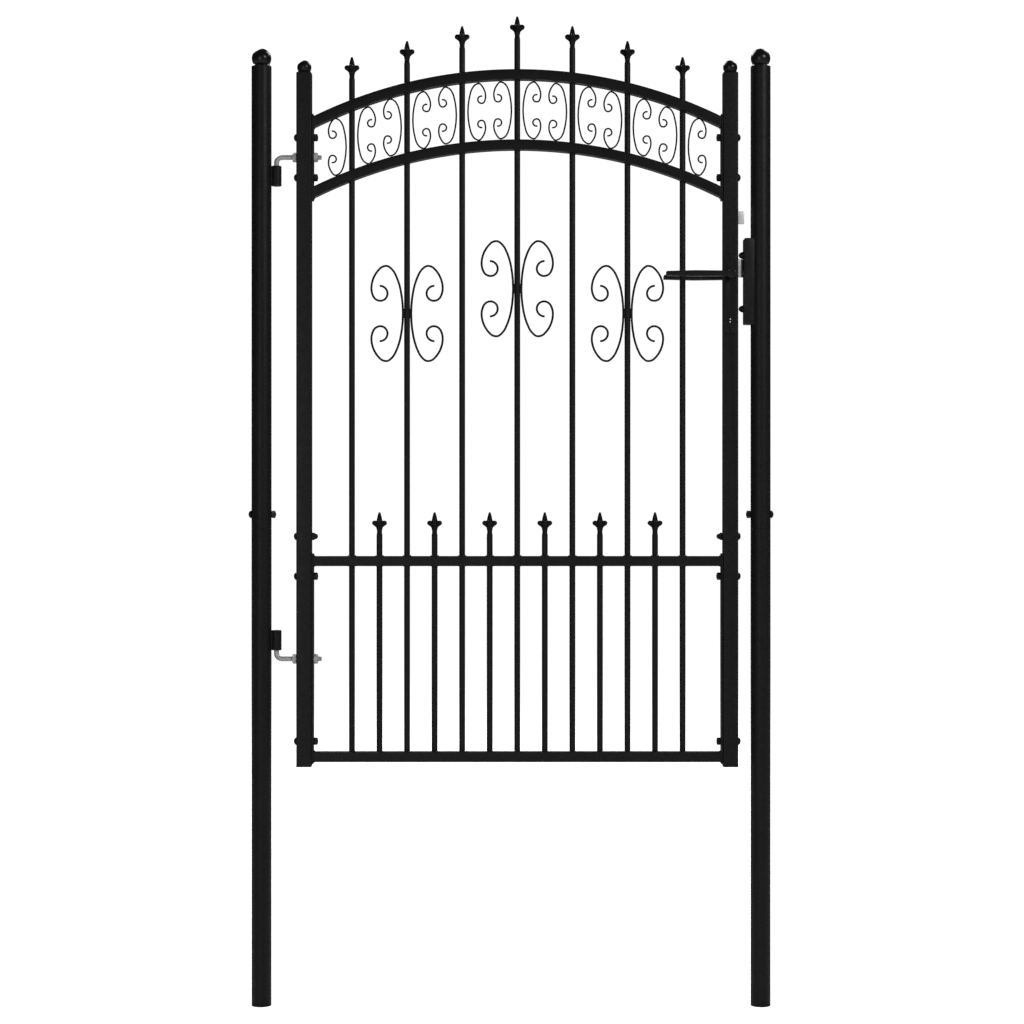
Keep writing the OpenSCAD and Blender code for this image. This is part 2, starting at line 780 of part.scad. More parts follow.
module lock_faceplate() {
    gap = 0.2;
    x = face_back_x + face_t / 2;
    color(zinc) difference() {
        block(x, face_t, face_w, face_z0, face_z1);
        block(x, 10, 2 * bolt_half + 2 * gap, latch_z - latch_h / 2 - gap, latch_z + latch_h / 2 + gap);
        block(x, 10, 2 * bolt_half + 2 * gap, dead_z - dead_h / 2 - gap, dead_z + dead_h / 2 + gap);
        for (z = [case_z0 + end_block / 2, case_z1 - end_block / 2]) {
            hole_x(x, z, 2 + slip, 20);
            along_x(x - face_t / 2 + 0.8, z, 1) cylinder(r1 = 2, r2 = 4.3, h = 2.3);
        }
    }
}

// Two countersunk screws that hold the faceplate to the case
module lock_screws() {
    head_l = 2;
    color(zinc) for (z = [case_z0 + end_block / 2, case_z1 - end_block / 2])
        along_x(face_back_x + face_t, z, 1) union() {
            translate([0, 0, -head_l]) cylinder(r1 = 2, r2 = 3.9, h = head_l);
            translate([0, 0, -13]) cylinder(r = 2, h = 12);
        }
}

// Slim plate behind a lever; side is -1 on the street side, 1 on the garden side
module backplate(side) {
    y = side * (stile_w / 2 + plate_t / 2 + 0.05);
    color(black) difference() {
        translate([latch_stile_x, y, 0]) block(0, plate_w, plate_t, plate_z0, plate_z1);
        hole_y(latch_stile_x, spindle_z, neck_r + running);
        keyhole(false);
        backplate_holes();
    }
}

module backplate_screws() {
    l = 8;
    color(black) for (side = [-1, 1], z = plate_screw_z)
        translate([latch_stile_x, side * (stile_w / 2 + plate_t + 0.05), z]) rotate([-90 * side, 0, 0])
            dome_bolt(3.8, 1.6, 2, l);
}

// Outline of a lever seen from the front: a round boss and a grip that swells in the middle
module lever_outline() {
    tip_h = 9.4;
    mid_h = 12.4;
    root_h = 11;
    boss_r = 9;
    grip_top = [[0, root_h / 2], [-lever_l * 0.55, mid_h / 2], [-lever_l + 2, tip_h / 2]];
    grip_bottom = [[-lever_l, -tip_h / 2], [-lever_l * 0.55, -mid_h / 2], [0, -root_h / 2]];
    union() {
        circle(r = boss_r);
        polygon(concat(grip_top, grip_bottom));
    }
}

module lever(side) {
    inner = lever_off - lever_depth / 2;
    neck_l = inner - stile_w / 2 - 0.5;
    color(black) translate([latch_stile_x, 0, spindle_z]) rotate([-90 * side, 0, 0])
        mirror([0, side > 0 ? 1 : 0, 0]) difference() {
            union() {
                translate([0, 0, inner]) linear_extrude(lever_depth) lever_outline();
                translate([0, 0, stile_w / 2 + 0.5]) cylinder(r = neck_r, h = neck_l + 0.5);
            }
            translate([0, 0, inner]) block(0, square_w + 2 * slip, square_w + 2 * slip, -inner, 9);
            translate([0, 0, inner - 4]) rotate([90, 0, 0]) cylinder(r = 1.6, h = 20);
        }
}

// Two grub screws that clamp the levers on the spindle, from below
module lever_grub_screws() {
    l = 3.8;
    y = lever_off - lever_depth / 2 - 4;
    color(zinc) for (side = [-1, 1])
        translate([latch_stile_x, side * y, spindle_z - square_w / 2 - slip - l])
            cylinder(r = 1.5, h = l);
}

module spindle() {
    half_l = lever_off;
    color(zinc) translate([latch_stile_x - square_w / 2, -half_l, spindle_z - square_w / 2])
        cube([square_w, 2 * half_l, square_w]);
}

// Hub turned by the spindle, with the arm that draws the latch bolt back
module follower() {
    arm_l = 15;
    arm_w = 2.8;
    nose_r = 2;
    arm_tilt = 20;
    arm_y = 5;
    color(zinc) translate([latch_stile_x, 0, spindle_z]) difference() {
        union() {
            rotate([90, 0, 0]) translate([0, 0, -case_y]) cylinder(r = journal_r, h = 2 * case_y);
            rotate([90, 0, 0]) translate([0, 0, -hub_y]) cylinder(r = hub_r, h = 2 * hub_y);
            rotate([0, arm_tilt, 0]) union() {
                block(0, arm_w, arm_y, 0, arm_l);
                translate([0, arm_y / 2, arm_l]) rotate([90, 0, 0]) cylinder(r = nose_r, h = arm_y);
            }
        }
        translate([-square_w / 2 - slip / 2, -50, -square_w / 2 - slip / 2])
            cube([square_w + slip, 100, square_w + slip]);
    }
}

// Bevelled latch bolt with a forked tail, a lug for the follower and a pocket for its spring
module latch_bolt() {
    tip_x = latch_stile_x + stile_w / 2 + latch_out;
    z0 = latch_z - latch_h / 2;
    z1 = latch_z + latch_h / 2;
    step_z = spindle_z + hub_r + 2.2;
    body_x = latch_stile_x + 10.7;
    tail_x = latch_stile_x - 0.3;
    lug_t = 3.1;
    cheek_t = bolt_half - hub_y - 0.3;
    head_x = latch_stile_x + hub_r + latch_travel + 0.2;
    cheek_x = latch_stile_x + journal_r + latch_travel + 0.1;
    bevel = 6;
    color(zinc) difference() {
        union() {
            translate([body_x, -bolt_half, step_z]) cube([tip_x - body_x, 2 * bolt_half, z1 - step_z]);
            translate([head_x, -bolt_half, z0]) cube([tip_x - head_x, 2 * bolt_half, step_z - z0 + 0.5]);
            for (y = [-bolt_half, bolt_half - cheek_t])
                translate([cheek_x, y, z0]) cube([head_x - cheek_x + 0.5, cheek_t, step_z - z0 + 0.5]);
            for (y = [-bolt_half, 3])
                translate([tail_x, y, step_z]) cube([body_x - tail_x + 0.5, bolt_half - 3, z1 - step_z]);
            translate([tail_x, -bolt_half, spindle_z + 12.6])
                cube([lug_t, 2 * bolt_half, z1 - spindle_z - 12.6]);
        }
        translate([tip_x, -bolt_half, z0 - past]) linear_extrude(latch_h + 2 * past)
            polygon([[-bevel, -past], [past, -past], [past, bevel * 1.5], [0, bevel * 1.5]]);
        translate([tail_x - past, 0, spring_z]) rotate([0, 90, 0])
            cylinder(r = pocket_r, h = pocket_x - tail_x + past);
    }
}

// Compression spring between the case and the bottom of the latch bolt's pocket
module latch_spring() {
    x0 = case_x0 + case_wall + 0.1;
    x1 = pocket_x - 0.1;
    turns = 8;
    steps = 14;
    sides = 6;
    wire_r = spring_wire / 2;
    rings = turns * steps;
    pitch = (x1 - x0 - spring_wire) / turns;
    points = [
        for (i = [0:rings], j = [0:sides - 1])
            let(a = 360 * i / steps, b = 360 * j / sides, r = spring_r - wire_r + wire_r * cos(b))
            [x0 + wire_r + pitch * i / steps + wire_r * sin(b), r * cos(a), r * sin(a)]];
    walls = [
        for (i = [0:rings - 1], j = [0:sides - 1])
            let(a = i * sides + j, b = i * sides + (j + 1) % sides)
            [a, b, b + sides, a + sides]];
    ends = [[for (j = [sides - 1:-1:0]) j], [for (j = [0:sides - 1]) rings * sides + j]];
    color(zinc) translate([0, 0, spring_z]) polyhedron(points, concat(walls, ends), 4);
}

module dead_bolt() {
    x0 = latch_stile_x + 1.8;
    tip_x = latch_stile_x + stile_w / 2 + dead_out;
    color(zinc) translate([x0, -bolt_half, dead_z - dead_h / 2])
        cube([tip_x - x0, 2 * bolt_half, dead_h]);
}

// ---------- nodes ----------

post_lower(hinge_post_x);  // hinge_post_lower
hinge_post_upper();
post_lower(latch_post_x);  // latch_post_lower
latch_post_upper();
post_cap(hinge_post_x);  // hinge_post_cap
post_cap(latch_post_x);  // latch_post_cap
post_bolts();
post_nuts();
hinge_sleeve(hinge_leg_z[0] - sleeve_drop - sleeve_l);  // top_hinge_sleeve
hinge_sleeve(hinge_leg_z[1] + sleeve_drop);  // bottom_hinge_sleeve
strike_box();
strike_screws();
post_plug();
stile_lower(hinge_stile_x, true);  // hinge_stile_lower
hinge_stile_upper();
stile_lower(latch_stile_x, false);  // latch_stile_lower
latch_stile_upper();
stile_cap(hinge_stile_x);  // hinge_stile_cap
stile_cap(latch_stile_x);  // latch_stile_cap
lower_strip(-1);  // hinge_strip_lower
upper_strip(-1);  // hinge_strip_upper
lower_strip(1);  // latch_strip_lower
upper_strip(1);  // latch_strip_upper
arch(upper_arch_z);  // upper_arch
arch(lower_arch_z);  // lower_arch
mid_rail();
bottom_rail();
long_bars();
lower_bars();
pickets();
long_bar_spears();
picket_spears();
scroll_pair(-2, outer_pair_z);  // left_scroll_pair
scroll_pair(0, centre_pair_z);  // centre_scroll_pair
scroll_pair(2, outer_pair_z);  // right_scroll_pair
band_scrolls(-1);  // band_scrolls_left
band_scrolls(1);  // band_scrolls_right
frame_bolts();
frame_nuts();
acorn_nuts();
hinge_bolt(hinge_leg_z[0], true);  // top_hinge_bolt
hinge_bolt(hinge_leg_z[1], false);  // bottom_hinge_bolt
hinge_nuts();
lock_case();
lock_cover();
lock_faceplate();
lock_screws();
backplate(-1);  // front_backplate
backplate(1);  // rear_backplate
backplate_screws();
lever(-1);  // front_lever
lever(1);  // rear_lever
lever_grub_screws();
spindle();
follower();
latch_bolt();
latch_spring();
dead_bolt();
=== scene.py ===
import math
import random

import bmesh
import bpy
from mathutils import Matrix, Vector


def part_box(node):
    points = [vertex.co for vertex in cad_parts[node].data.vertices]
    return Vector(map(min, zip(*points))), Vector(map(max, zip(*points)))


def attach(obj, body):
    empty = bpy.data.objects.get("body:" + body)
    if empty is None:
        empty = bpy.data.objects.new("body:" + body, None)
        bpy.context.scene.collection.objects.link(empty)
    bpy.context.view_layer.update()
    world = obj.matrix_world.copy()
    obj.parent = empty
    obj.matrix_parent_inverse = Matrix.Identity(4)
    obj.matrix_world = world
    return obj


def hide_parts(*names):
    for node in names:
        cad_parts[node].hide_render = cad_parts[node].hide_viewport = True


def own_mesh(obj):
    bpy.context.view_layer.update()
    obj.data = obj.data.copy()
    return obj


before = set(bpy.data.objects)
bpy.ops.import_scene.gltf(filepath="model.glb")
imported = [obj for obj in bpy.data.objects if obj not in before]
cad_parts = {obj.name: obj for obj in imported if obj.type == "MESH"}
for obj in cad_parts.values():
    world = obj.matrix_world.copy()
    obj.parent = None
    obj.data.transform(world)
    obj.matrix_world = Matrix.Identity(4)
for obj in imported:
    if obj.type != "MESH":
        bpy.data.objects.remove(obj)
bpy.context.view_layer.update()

MM = 0.001
X = Vector((1, 0, 0))
Y = Vector((0, 1, 0))
Z = Vector((0, 0, 1))
TURN = 2 * math.pi
SAME_POINT = 1e-6
# Degrees between two faces from which their edge looks sharp
SHARP = 35
SHARP_CAP = 28
SHARP_ROD = 50
SHARP_BEAD = 60


def middle(box):
    return (box[0] + box[1]) / 2


# ---------- sizes taken from the frame ----------

POST_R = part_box("hinge_post_upper")[1].y
HEAD_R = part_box("post_bolts")[1].y
HINGE_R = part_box("top_hinge_bolt")[1].y
HINGE_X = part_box("top_hinge_bolt")[0].x + HINGE_R
STRIKE_HEAD_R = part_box("strike_screws")[1].y
STILE_W = 2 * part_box("hinge_stile_upper")[1].y
STILE_SPANS = {
    "lower": (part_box("hinge_stile_lower")[0].z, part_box("hinge_stile_upper")[0].z),
    "upper": (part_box("hinge_stile_upper")[0].z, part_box("hinge_stile_upper")[1].z),
}
RAIL_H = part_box("mid_rail")[1].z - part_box("mid_rail")[0].z
RAIL_DEPTH = 2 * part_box("mid_rail")[1].y
LEAF_X = middle(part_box("mid_rail")).x
BAY = (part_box("mid_rail")[1].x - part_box("mid_rail")[0].x) / 2
BAR_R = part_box("long_bars")[1].y
PITCH = (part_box("long_bars")[1].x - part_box("long_bars")[0].x - 2 * BAR_R) / 6
LATCH_X = middle(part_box("latch_stile_upper")).x
SPINDLE_Z = middle(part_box("spindle")).z

# ---------- sizes that the frame's boxes don't give ----------

POST_WALL = 1.5 * MM
STILE_WALL = 1.5 * MM
STILE_CORNER = 2.4 * MM
TUBE_WALL = 1.5 * MM
TUBE_CORNER = 2 * MM
SPIGOT_SLIP = 0.1 * MM
SPIGOT_HELD = 8 * MM
EASED = 0.4 * MM
CHAMFER = 0.5 * MM
ARCH_R = 920 * MM
HEAD_H = 6 * MM
BOLT_R = 4 * MM
BOLT_PITCH = 1.25 * MM
NUT_FLATS = 13 * MM
NUT_SLIP = 0.05 * MM
SLEEVE_R = 10 * MM
BEND_R = 11 * MM
HINGE_PITCH = 1.5 * MM
HINGE_NUT_FLATS = 17 * MM
STRIKE_HEAD_H = 10 * MM
KEYHOLE_Z = 1369.6 * MM
LEVER_OFF = 38 * MM
LEVER_HALF_DEPTH = 7 * MM
BEAD_STEP = 0.6 * MM
BEAD_RIPPLE = 1.9 * MM
PAIR_ROD_R = 2.2 * MM
BAND_ROD_R = 1.7 * MM
PAIR_OFF = 8.25 * MM
BAND_OFF = 11.6 * MM
# From a band scroll's back to where the arches' height is taken for it
BAND_MIDDLE = 18.2 * MM
# Tangent arcs of half a scroll from the middle of its back, as radius in mm and sweep in degrees
PAIR_ARCS = [(243, 11.1), (130, 15.1), (38.2, 27.4), (10.9, 37.8), (17.9, 42.1),
             (56, 43.4), (36.5, 30.6), (15.7, 53), (14.4, 92.9), (15.4, 93.2)]
BAND_ARCS = [(144, 15.7), (39.1, 15.8), (17.3, 42.9), (5.8, 62.2), (36.3, 30.7),
             (28.4, 35.1), (6, 52.9), (7.5, 95.1), (7, 109.7)]
# Spear in mm: the middle of a lobe, and (radius, height) points of its foot and of its blade
LOBE_X, LOBE_Z, LOBE_R = 10.1, 23.4, 4.9
SPEAR_SIDE = [(5.1, 0), (5.1, 9), (6.4, 14), (8.8, 16.6)]
SPEAR_CORE = [(5.9, 0), (5.9, 1.2), (5.1, 2.6), (5.1, 8), (6, 11), (6.2, 14), (5.6, 24)]
SPEAR_BLADE = [(5.8, 28), (5.3, 31), (4.4, 35.5), (2.9, 41.2), (0.5, 44.9)]
SPEAR_HALF_DEPTH = 2.3 * MM
# Grip of a lever in mm: half its height at each distance from the spindle
GRIP = [(-4, 5.3), (10, 5.5), (40, 5.9), (72, 6.2), (100, 5.5), (125, 4.85)]


# ---------- camera ----------

CAMERA_PLACE = (0.0019, -4.5, 0.9864)
SEEN_WIDTH = 2.048
SENSOR_WIDTH = 36


def linked(name, data):
    """A new object in the scene."""
    obj = bpy.data.objects.new(name, data)
    bpy.context.scene.collection.objects.link(obj)
    return obj


def make_camera():
    """Stands in front of the gate at half its height and looks straight at it."""
    data = bpy.data.cameras.new("camera")
    data.sensor_width = SENSOR_WIDTH
    data.lens = SENSOR_WIDTH * -CAMERA_PLACE[1] / SEEN_WIDTH
    data.clip_end = 100
    camera = linked("camera", data)
    camera.location = CAMERA_PLACE
    camera.rotation_euler = (math.pi / 2, 0, 0)
    bpy.context.scene.camera = camera


# ---------- materials ----------

class Surface:
    """A node material built round one Principled shader."""

    def __init__(self, name):
        self.material = bpy.data.materials.new(name)
        self.material.use_nodes = True
        self.tree = self.material.node_tree
        self.shader = self.tree.nodes["Principled BSDF"]
        self.place = self.add("ShaderNodeTexCoord").outputs["Object"]

    def add(self, kind, **values):
        node = self.tree.nodes.new(kind)
        for key, value in values.items():
            setattr(node, key, value)
        return node

    def link(self, start, end):
        self.tree.links.new(start, end)

    def stretched(self, scale):
        """The object's own coordinates, scaled by a different number along each axis."""
        mapping = self.add("ShaderNodeMapping")
        mapping.inputs["Scale"].default_value = scale
        self.link(self.place, mapping.inputs["Vector"])
        return mapping.outputs["Vector"]

    def noise(self, scale, detail, rough=0.5, where=None):
        node = self.add("ShaderNodeTexNoise")
        node.inputs["Scale"].default_value = scale
        node.inputs["Detail"].default_value = detail
        node.inputs["Roughness"].default_value = rough
        self.link(where or self.place, node.inputs["Vector"])
        return node.outputs["Fac"]

    def spread(self, value, low, high, from_low=0.3, from_high=0.7):
        node = self.add("ShaderNodeMapRange")
        for key, number in (("From Min", from_low), ("From Max", from_high),
                            ("To Min", low), ("To Max", high)):
            node.inputs[key].default_value = number
        self.link(value, node.inputs["Value"])
        return node.outputs["Result"]

    def ramp(self, value, *stops):
        """A colour ramp with two stops of (position, colour)."""
        node = self.add("ShaderNodeValToRGB")
        for element, (at, colour) in zip(node.color_ramp.elements, stops):
            element.position = at
            element.color = (*colour, 1)
        self.link(value, node.inputs["Fac"])
        return node.outputs["Color"]

    def blend(self, factor, under, over, strength):
        """Blends a socket's colour with a plain one, which is scaled and held to 1."""
        node = self.add("ShaderNodeMix", data_type="RGBA")
        self.link(factor, node.inputs["Factor"])
        self.link(under, node.inputs["A"])
        node.inputs["B"].default_value = (*(min(1, strength * part) for part in over), 1)
        return node.outputs["Result"]

    def bumps(self, *heights):
        """Chains bump nodes; each height is (value, depth in metres, strength)."""
        normal = None
        for value, depth, strength in heights:
            node = self.add("ShaderNodeBump")
            node.inputs["Distance"].default_value = depth
            node.inputs["Strength"].default_value = strength
            self.link(value, node.inputs["Height"])
            if normal:
                self.link(normal, node.inputs["Normal"])
            normal = node.outputs["Normal"]
        self.link(normal, self.shader.inputs["Normal"])

    def edges(self, low, high):
        """0 on flats and 1 on the sharpest edges, broken up by a fine noise."""
        pointiness = self.add("ShaderNodeNewGeometry").outputs["Pointiness"]
        worn = self.spread(pointiness, 0, 1, low, high)
        patchy = self.spread(self.noise(WEAR_SCALE, 3), 0.2, 1, 0.35, 0.62)
        product = self.add("ShaderNodeMath", operation="MULTIPLY")
        self.link(worn, product.inputs[0])
        self.link(patchy, product.inputs[1])
        return product.outputs["Value"]


# Noise scales, as cells for each metre
WEAR_SCALE = 180
COAT_CLOUD, COAT_SHEEN, COAT_DUST = 9, 60, 2600
PEEL_SCALE, FINE_PEEL_SCALE = 620, 2400
PLATING_CLOUD, PLATING_HAZE = 70, 420
SCRATCHES = (60, 2600, 2600)
# Pointiness at which wear starts
EDGE_START = 0.53


def coated(name, dark, light, rough, specular, peel):
    """Black powder coat: fine orange peel, faint clouds, thin dust and a greyer film on edges."""
    s = Surface(name)
    cloud = s.noise(COAT_CLOUD, 4, 0.6)
    film = s.ramp(cloud, (0.32, grey(dark, 1.02)), (0.68, grey(light, 1.02)))
    speck = s.spread(s.noise(COAT_DUST, 1), 0, 1, 0.66, 0.72)
    flecked = s.blend(speck, film, grey(light, 1.02), 2.4)
    rubbed = s.blend(s.edges(EDGE_START, 0.6), flecked, grey(light, 1.02), 2.0)
    s.link(rubbed, s.shader.inputs["Base Color"])
    sheen = s.spread(s.noise(COAT_SHEEN, 3), rough - 0.05, rough + 0.06)
    s.link(sheen, s.shader.inputs["Roughness"])
    s.shader.inputs["Specular IOR Level"].default_value = specular
    s.bumps((s.noise(PEEL_SCALE, 2, 0.45), peel, 0.5),
            (s.noise(FINE_PEEL_SCALE, 1), 0.25 * peel, 0.3))
    return s.material


def plated(name, dark, light, blue, rough):
    """Plated steel: metal with clouded plating and fine scratches that run along X."""
    s = Surface(name)
    scratch = s.noise(1, 3, 0.6, s.stretched(SCRATCHES))
    cloud = s.noise(PLATING_CLOUD, 4, 0.6)
    film = s.ramp(cloud, (0.3, grey(dark, blue)), (0.7, grey(light, blue)))
    lined = s.blend(s.spread(scratch, 0, 0.35, 0.45, 0.7), film, grey(dark, blue), 0.72)
    bright = s.blend(s.edges(EDGE_START, 0.62), lined, grey(light, blue), 1.25)
    s.link(bright, s.shader.inputs["Base Color"])
    s.shader.inputs["Metallic"].default_value = 0.3
    s.link(s.spread(cloud, rough - 0.06, rough + 0.08), s.shader.inputs["Roughness"])
    s.bumps((scratch, 0.00003, 0.35), (s.noise(PLATING_HAZE, 2), 0.00004, 0.3))
    return s.material


def grey(level, blue):
    return (level, level, level * blue)


# Darkest and lightest grey, roughness, specular level and depth of the orange peel
COATS = {
    "powder_coat": (0.0066, 0.0090, 0.44, 0.16, 0.00003),
    "black_fastener": (0.0070, 0.0092, 0.38, 0.2, 0.00002),
    "black_cap": (0.0074, 0.0092, 0.26, 0.3, 0.000015),
    "black_lever": (0.0082, 0.0108, 0.36, 0.28, 0.00002),
}
# Darkest and lightest grey, share of blue and roughness
PLATINGS = {
    "zinc": (0.44, 0.60, 1.01, 0.42),
    "lock_steel": (0.74, 0.90, 1.0, 0.38),
    "spring_steel": (0.30, 0.42, 1.0, 0.26),
}
MATERIALS = {name: coated(name, *values) for name, values in COATS.items()}
MATERIALS |= {name: plated(name, *values) for name, values in PLATINGS.items()}


# ---------- meshes ----------

def smoothed(mesh, sharp=SHARP):
    """Shades a mesh smooth, except across edges sharper than the given angle."""
    mesh.shade_smooth()
    mesh.set_sharp_from_angle(angle=math.radians(sharp))
    return mesh


def finished(bm, name, sharp=SHARP):
    """Turns a bmesh into a mesh with outward faces."""
    bmesh.ops.recalc_face_normals(bm, faces=bm.faces)
    mesh = bpy.data.meshes.new(name)
    bm.to_mesh(mesh)
    bm.free()
    return smoothed(mesh, sharp)


def skin(bm, rings, wrap=False):
    """Quads between rings of equally many points; the ends are capped, or joined if wrap is set."""
    loops = [[bm.verts.new(point) for point in ring] for ring in rings]
    pairs = list(zip(loops, loops[1:])) + ([(loops[-1], loops[0])] if wrap else [])
    for low, high in pairs:
        for i in range(len(low)):
            j = (i + 1) % len(low)
            bm.faces.new((low[i], low[j], high[j], high[i]))
    if not wrap:
        bm.faces.new(loops[0])
        bm.faces.new(loops[-1])


def axes_for(direction):
    """Two unit vectors square to a direction and to each other."""
    side = Y if abs(direction.dot(Y)) < 0.9 else Z
    across = direction.cross(side).normalized()
    return across, direction.cross(across).normalized()


def turned(bm, foot, direction, profile, count, wrap=False):
    """Turns (radius, distance) points about an axis; a radius may be a function of the angle."""
    across, upright = axes_for(direction)
    rings = []
    for radius, along in profile:
        ring = []
        for i in range(count):
            angle = TURN * i / count
            r = radius(angle) if callable(radius) else radius
            spoke = math.cos(angle) * across + math.sin(angle) * upright
            ring.append(foot + along * direction + r * spoke)
        rings.append(ring)
    skin(bm, rings, wrap)


def sweep(bm, path, radius, count):
    """Rod along (point, tangent, distance) in the leaf's plane; radius takes distance and angle."""
    rings = []
    for point, tangent, along in path:
        normal = tangent.cross(Y).normalized()
        ring = []
        for i in range(count):
            angle = TURN * i / count
            r = radius(along, angle)
            ring.append(point + r * (math.cos(angle) * normal + math.sin(angle) * Y))
        rings.append(ring)
    skin(bm, rings)


def rectangle(width, depth, corner, steps=4):
    """Outline of a rectangle with rounded corners, as (u, v) points."""
    w, d = width / 2, depth / 2
    points = [Vector(point) for point in ((w, d), (-w, d), (-w, -d), (w, -d))]
    outline = []
    for i, here in enumerate(points):
        back = points[i - 1] - here
        ahead = points[(i + 1) % 4] - here
        half = back.angle(ahead) / 2
        cut = min(corner / math.tan(half), 0.49 * back.length, 0.49 * ahead.length)
        start = here + cut * back.normalized()
        end = here + cut * ahead.normalized()
        for k in range(steps + 1):
            t = k / steps
            outline.append(tuple((1 - t) ** 2 * start + 2 * t * (1 - t) * here + t * t * end))
    return outline


def eased(low, high):
    """Stations of a tube whose ends are slightly rounded."""
    return [low, low + EASED, high - EASED, high]


def hollow(bm, width, depth, corner, wall, place, stations):
    """Rectangular tube; place turns (across, deep, station) into a point."""
    ease = 0.6 * MM
    outer = rectangle(width, depth, corner)
    end = rectangle(width - ease, depth - ease, corner)
    inner = rectangle(width - 2 * wall, depth - 2 * wall, corner - wall / 2)
    steps = [(end, stations[0])] + [(outer, t) for t in stations[1:-1]] + [(end, stations[-1])]
    steps += [(inner, t) for t in reversed(stations)]
    skin(bm, [[place(u, v, t) for u, v in outline] for outline, t in steps], wrap=True)


def block_mesh(low, high):
    """A box to cut with."""
    bm = bmesh.new()
    corners = [(low[0], low[1]), (high[0], low[1]), (high[0], high[1]), (low[0], high[1])]
    skin(bm, [[Vector((x, y, z)) for x, y in corners] for z in (low[2], high[2])])
    return finished(bm, "cutter")


def rod_mesh(foot, direction, radius, length):
    """A round rod to cut with."""
    bm = bmesh.new()
    turned(bm, foot, direction, [(radius, 0), (radius, length)], 32)
    return finished(bm, "cutter")


def applied(obj):
    """A mesh with the modifiers of an object applied."""
    depsgraph = bpy.context.evaluated_depsgraph_get()
    return bpy.data.meshes.new_from_object(obj.evaluated_get(depsgraph))


def carved(mesh, *cutters):
    """The mesh with each cutter mesh taken out of it."""
    body = linked("carving", mesh)
    for cutter in cutters:
        tool = linked("cutter", cutter)
        cut = body.modifiers.new("cut", "BOOLEAN")
        cut.object = tool
        cut.solver = "EXACT"
        result = applied(body)
        body.modifiers.clear()
        body.data = result
        bpy.data.objects.remove(tool)
    bpy.data.objects.remove(body)
    return smoothed(result)


def cast(mesh, voxel, share, rounds):
    """One smooth skin round all the overlapping shells of a mesh, as a casting has."""
    obj = linked("casting", mesh)
    remesh = obj.modifiers.new("remesh", "REMESH")
    remesh.mode = "VOXEL"
    remesh.voxel_size = voxel
    relax = obj.modifiers.new("relax", "SMOOTH")
    relax.factor = 0.5
    relax.iterations = rounds
    thin = obj.modifiers.new("thin", "DECIMATE")
    thin.ratio = share
    result = applied(obj)
    result.shade_smooth()
    bpy.data.objects.remove(obj)
    return result


def moved(mesh, offset):
    copy = mesh.copy()
    copy.transform(Matrix.Translation(offset))
    return copy


# ---------- CAD nodes ----------

def node_bmesh(node):
    """The mesh of a CAD node, with its coincident points joined."""
    bm = bmesh.new()
    bm.from_mesh(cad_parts[node].data)
    bmesh.ops.remove_doubles(bm, verts=bm.verts, dist=SAME_POINT)
    return bm


def islands(node):
    """Boxes (low, high) of the separate solids of a CAD node, sorted by x and then z."""
    bm = node_bmesh(node)
    found = []
    left = set(bm.verts)
    while left:
        stack = [left.pop()]
        points = []
        while stack:
            v = stack.pop()
            points.append(v.co.copy())
            for edge in v.link_edges:
                other = edge.other_vert(v)
                if other in left:
                    left.remove(other)
                    stack.append(other)
        found.append((Vector(map(min, *points)), Vector(map(max, *points))))
    bm.free()
    return sorted(found, key=lambda box: (round(box[0].x, 4), round(box[0].z, 4)))


# ---------- pieces ----------

def piece(name, mesh, body, slot, *nodes):
    """Links a mesh as a piece that rides on a body, has a finish and stands for CAD nodes."""
    obj = linked(name, mesh)
    obj.data.materials.clear()
    obj.data.materials.append(MATERIALS[slot])
    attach(obj, body)
    if nodes:
        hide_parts(*nodes)
    return obj


def built(bm, name, body, slot, *nodes, sharp=SHARP):
    """Turns a bmesh into a piece."""
    return piece(name, finished(bm, name, sharp), body, slot, *nodes)


def keep(node, slot):
    """Keeps a CAD node whose shape is right, and gives it the finish of its slot."""
    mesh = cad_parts[node].data
    if not mesh.materials:
        mesh.materials.append(None)
    for i in range(len(mesh.materials)):
        mesh.materials[i] = MATERIALS[slot]


def edge_turn(edge):
    """Angle between the two faces of an edge, or 0 where there aren't two."""
    return edge.calc_face_angle(0) if len(edge.link_faces) == 2 else 0


def softened(node, body, slot, *cuts):
    """A CAD node's shape with rounded edges; each cut is (test of an edge, radius, segments)."""
    bm = node_bmesh(node)
    bmesh.ops.dissolve_limit(bm, angle_limit=math.radians(0.4), verts=bm.verts, edges=bm.edges)
    for test, radius, segments in cuts:
        edges = [e for e in bm.edges if edge_turn(e) > math.radians(50) and test(e)]
        bmesh.ops.bevel(bm, geom=edges, offset=radius, offset_type="OFFSET", segments=segments,
                        profile=0.5, affect="EDGES", clamp_overlap=False)
        bmesh.ops.dissolve_degenerate(bm, dist=SAME_POINT, edges=bm.edges)
    bmesh.ops.triangulate(bm, faces=[f for f in bm.faces if len(f.verts) > 4])
    built(bm, node + "_made", body, slot, node)


def longer(length):
    return lambda edge: edge.calc_length() > length


# ---------- shapes that repeat ----------

def rod_profile(radius, low, high):
    """Profile of a rod between two heights, with chamfered ends."""
    return [(radius - CHAMFER, low), (radius, low + CHAMFER),
            (radius, high - CHAMFER), (radius - CHAMFER, high)]


def dome(radius, height, start, count):
    """Profile of a dome, from its rim to just short of its crown."""
    angles = [math.radians(88) * i / count for i in range(count + 1)]
    rise = (height - start) / math.sin(angles[-1])
    return [(radius * math.cos(a), start + rise * math.sin(a)) for a in angles]


def ball(radius, centre, foot, count):
    """Profile of a ball round a centre height, from the height of its foot to its crown."""
    start = math.asin((foot - centre) / radius)
    arc = [start + (math.radians(89) - start) * i / count for i in range(count + 1)]
    return [(radius * math.cos(a), centre + radius * math.sin(a)) for a in arc]


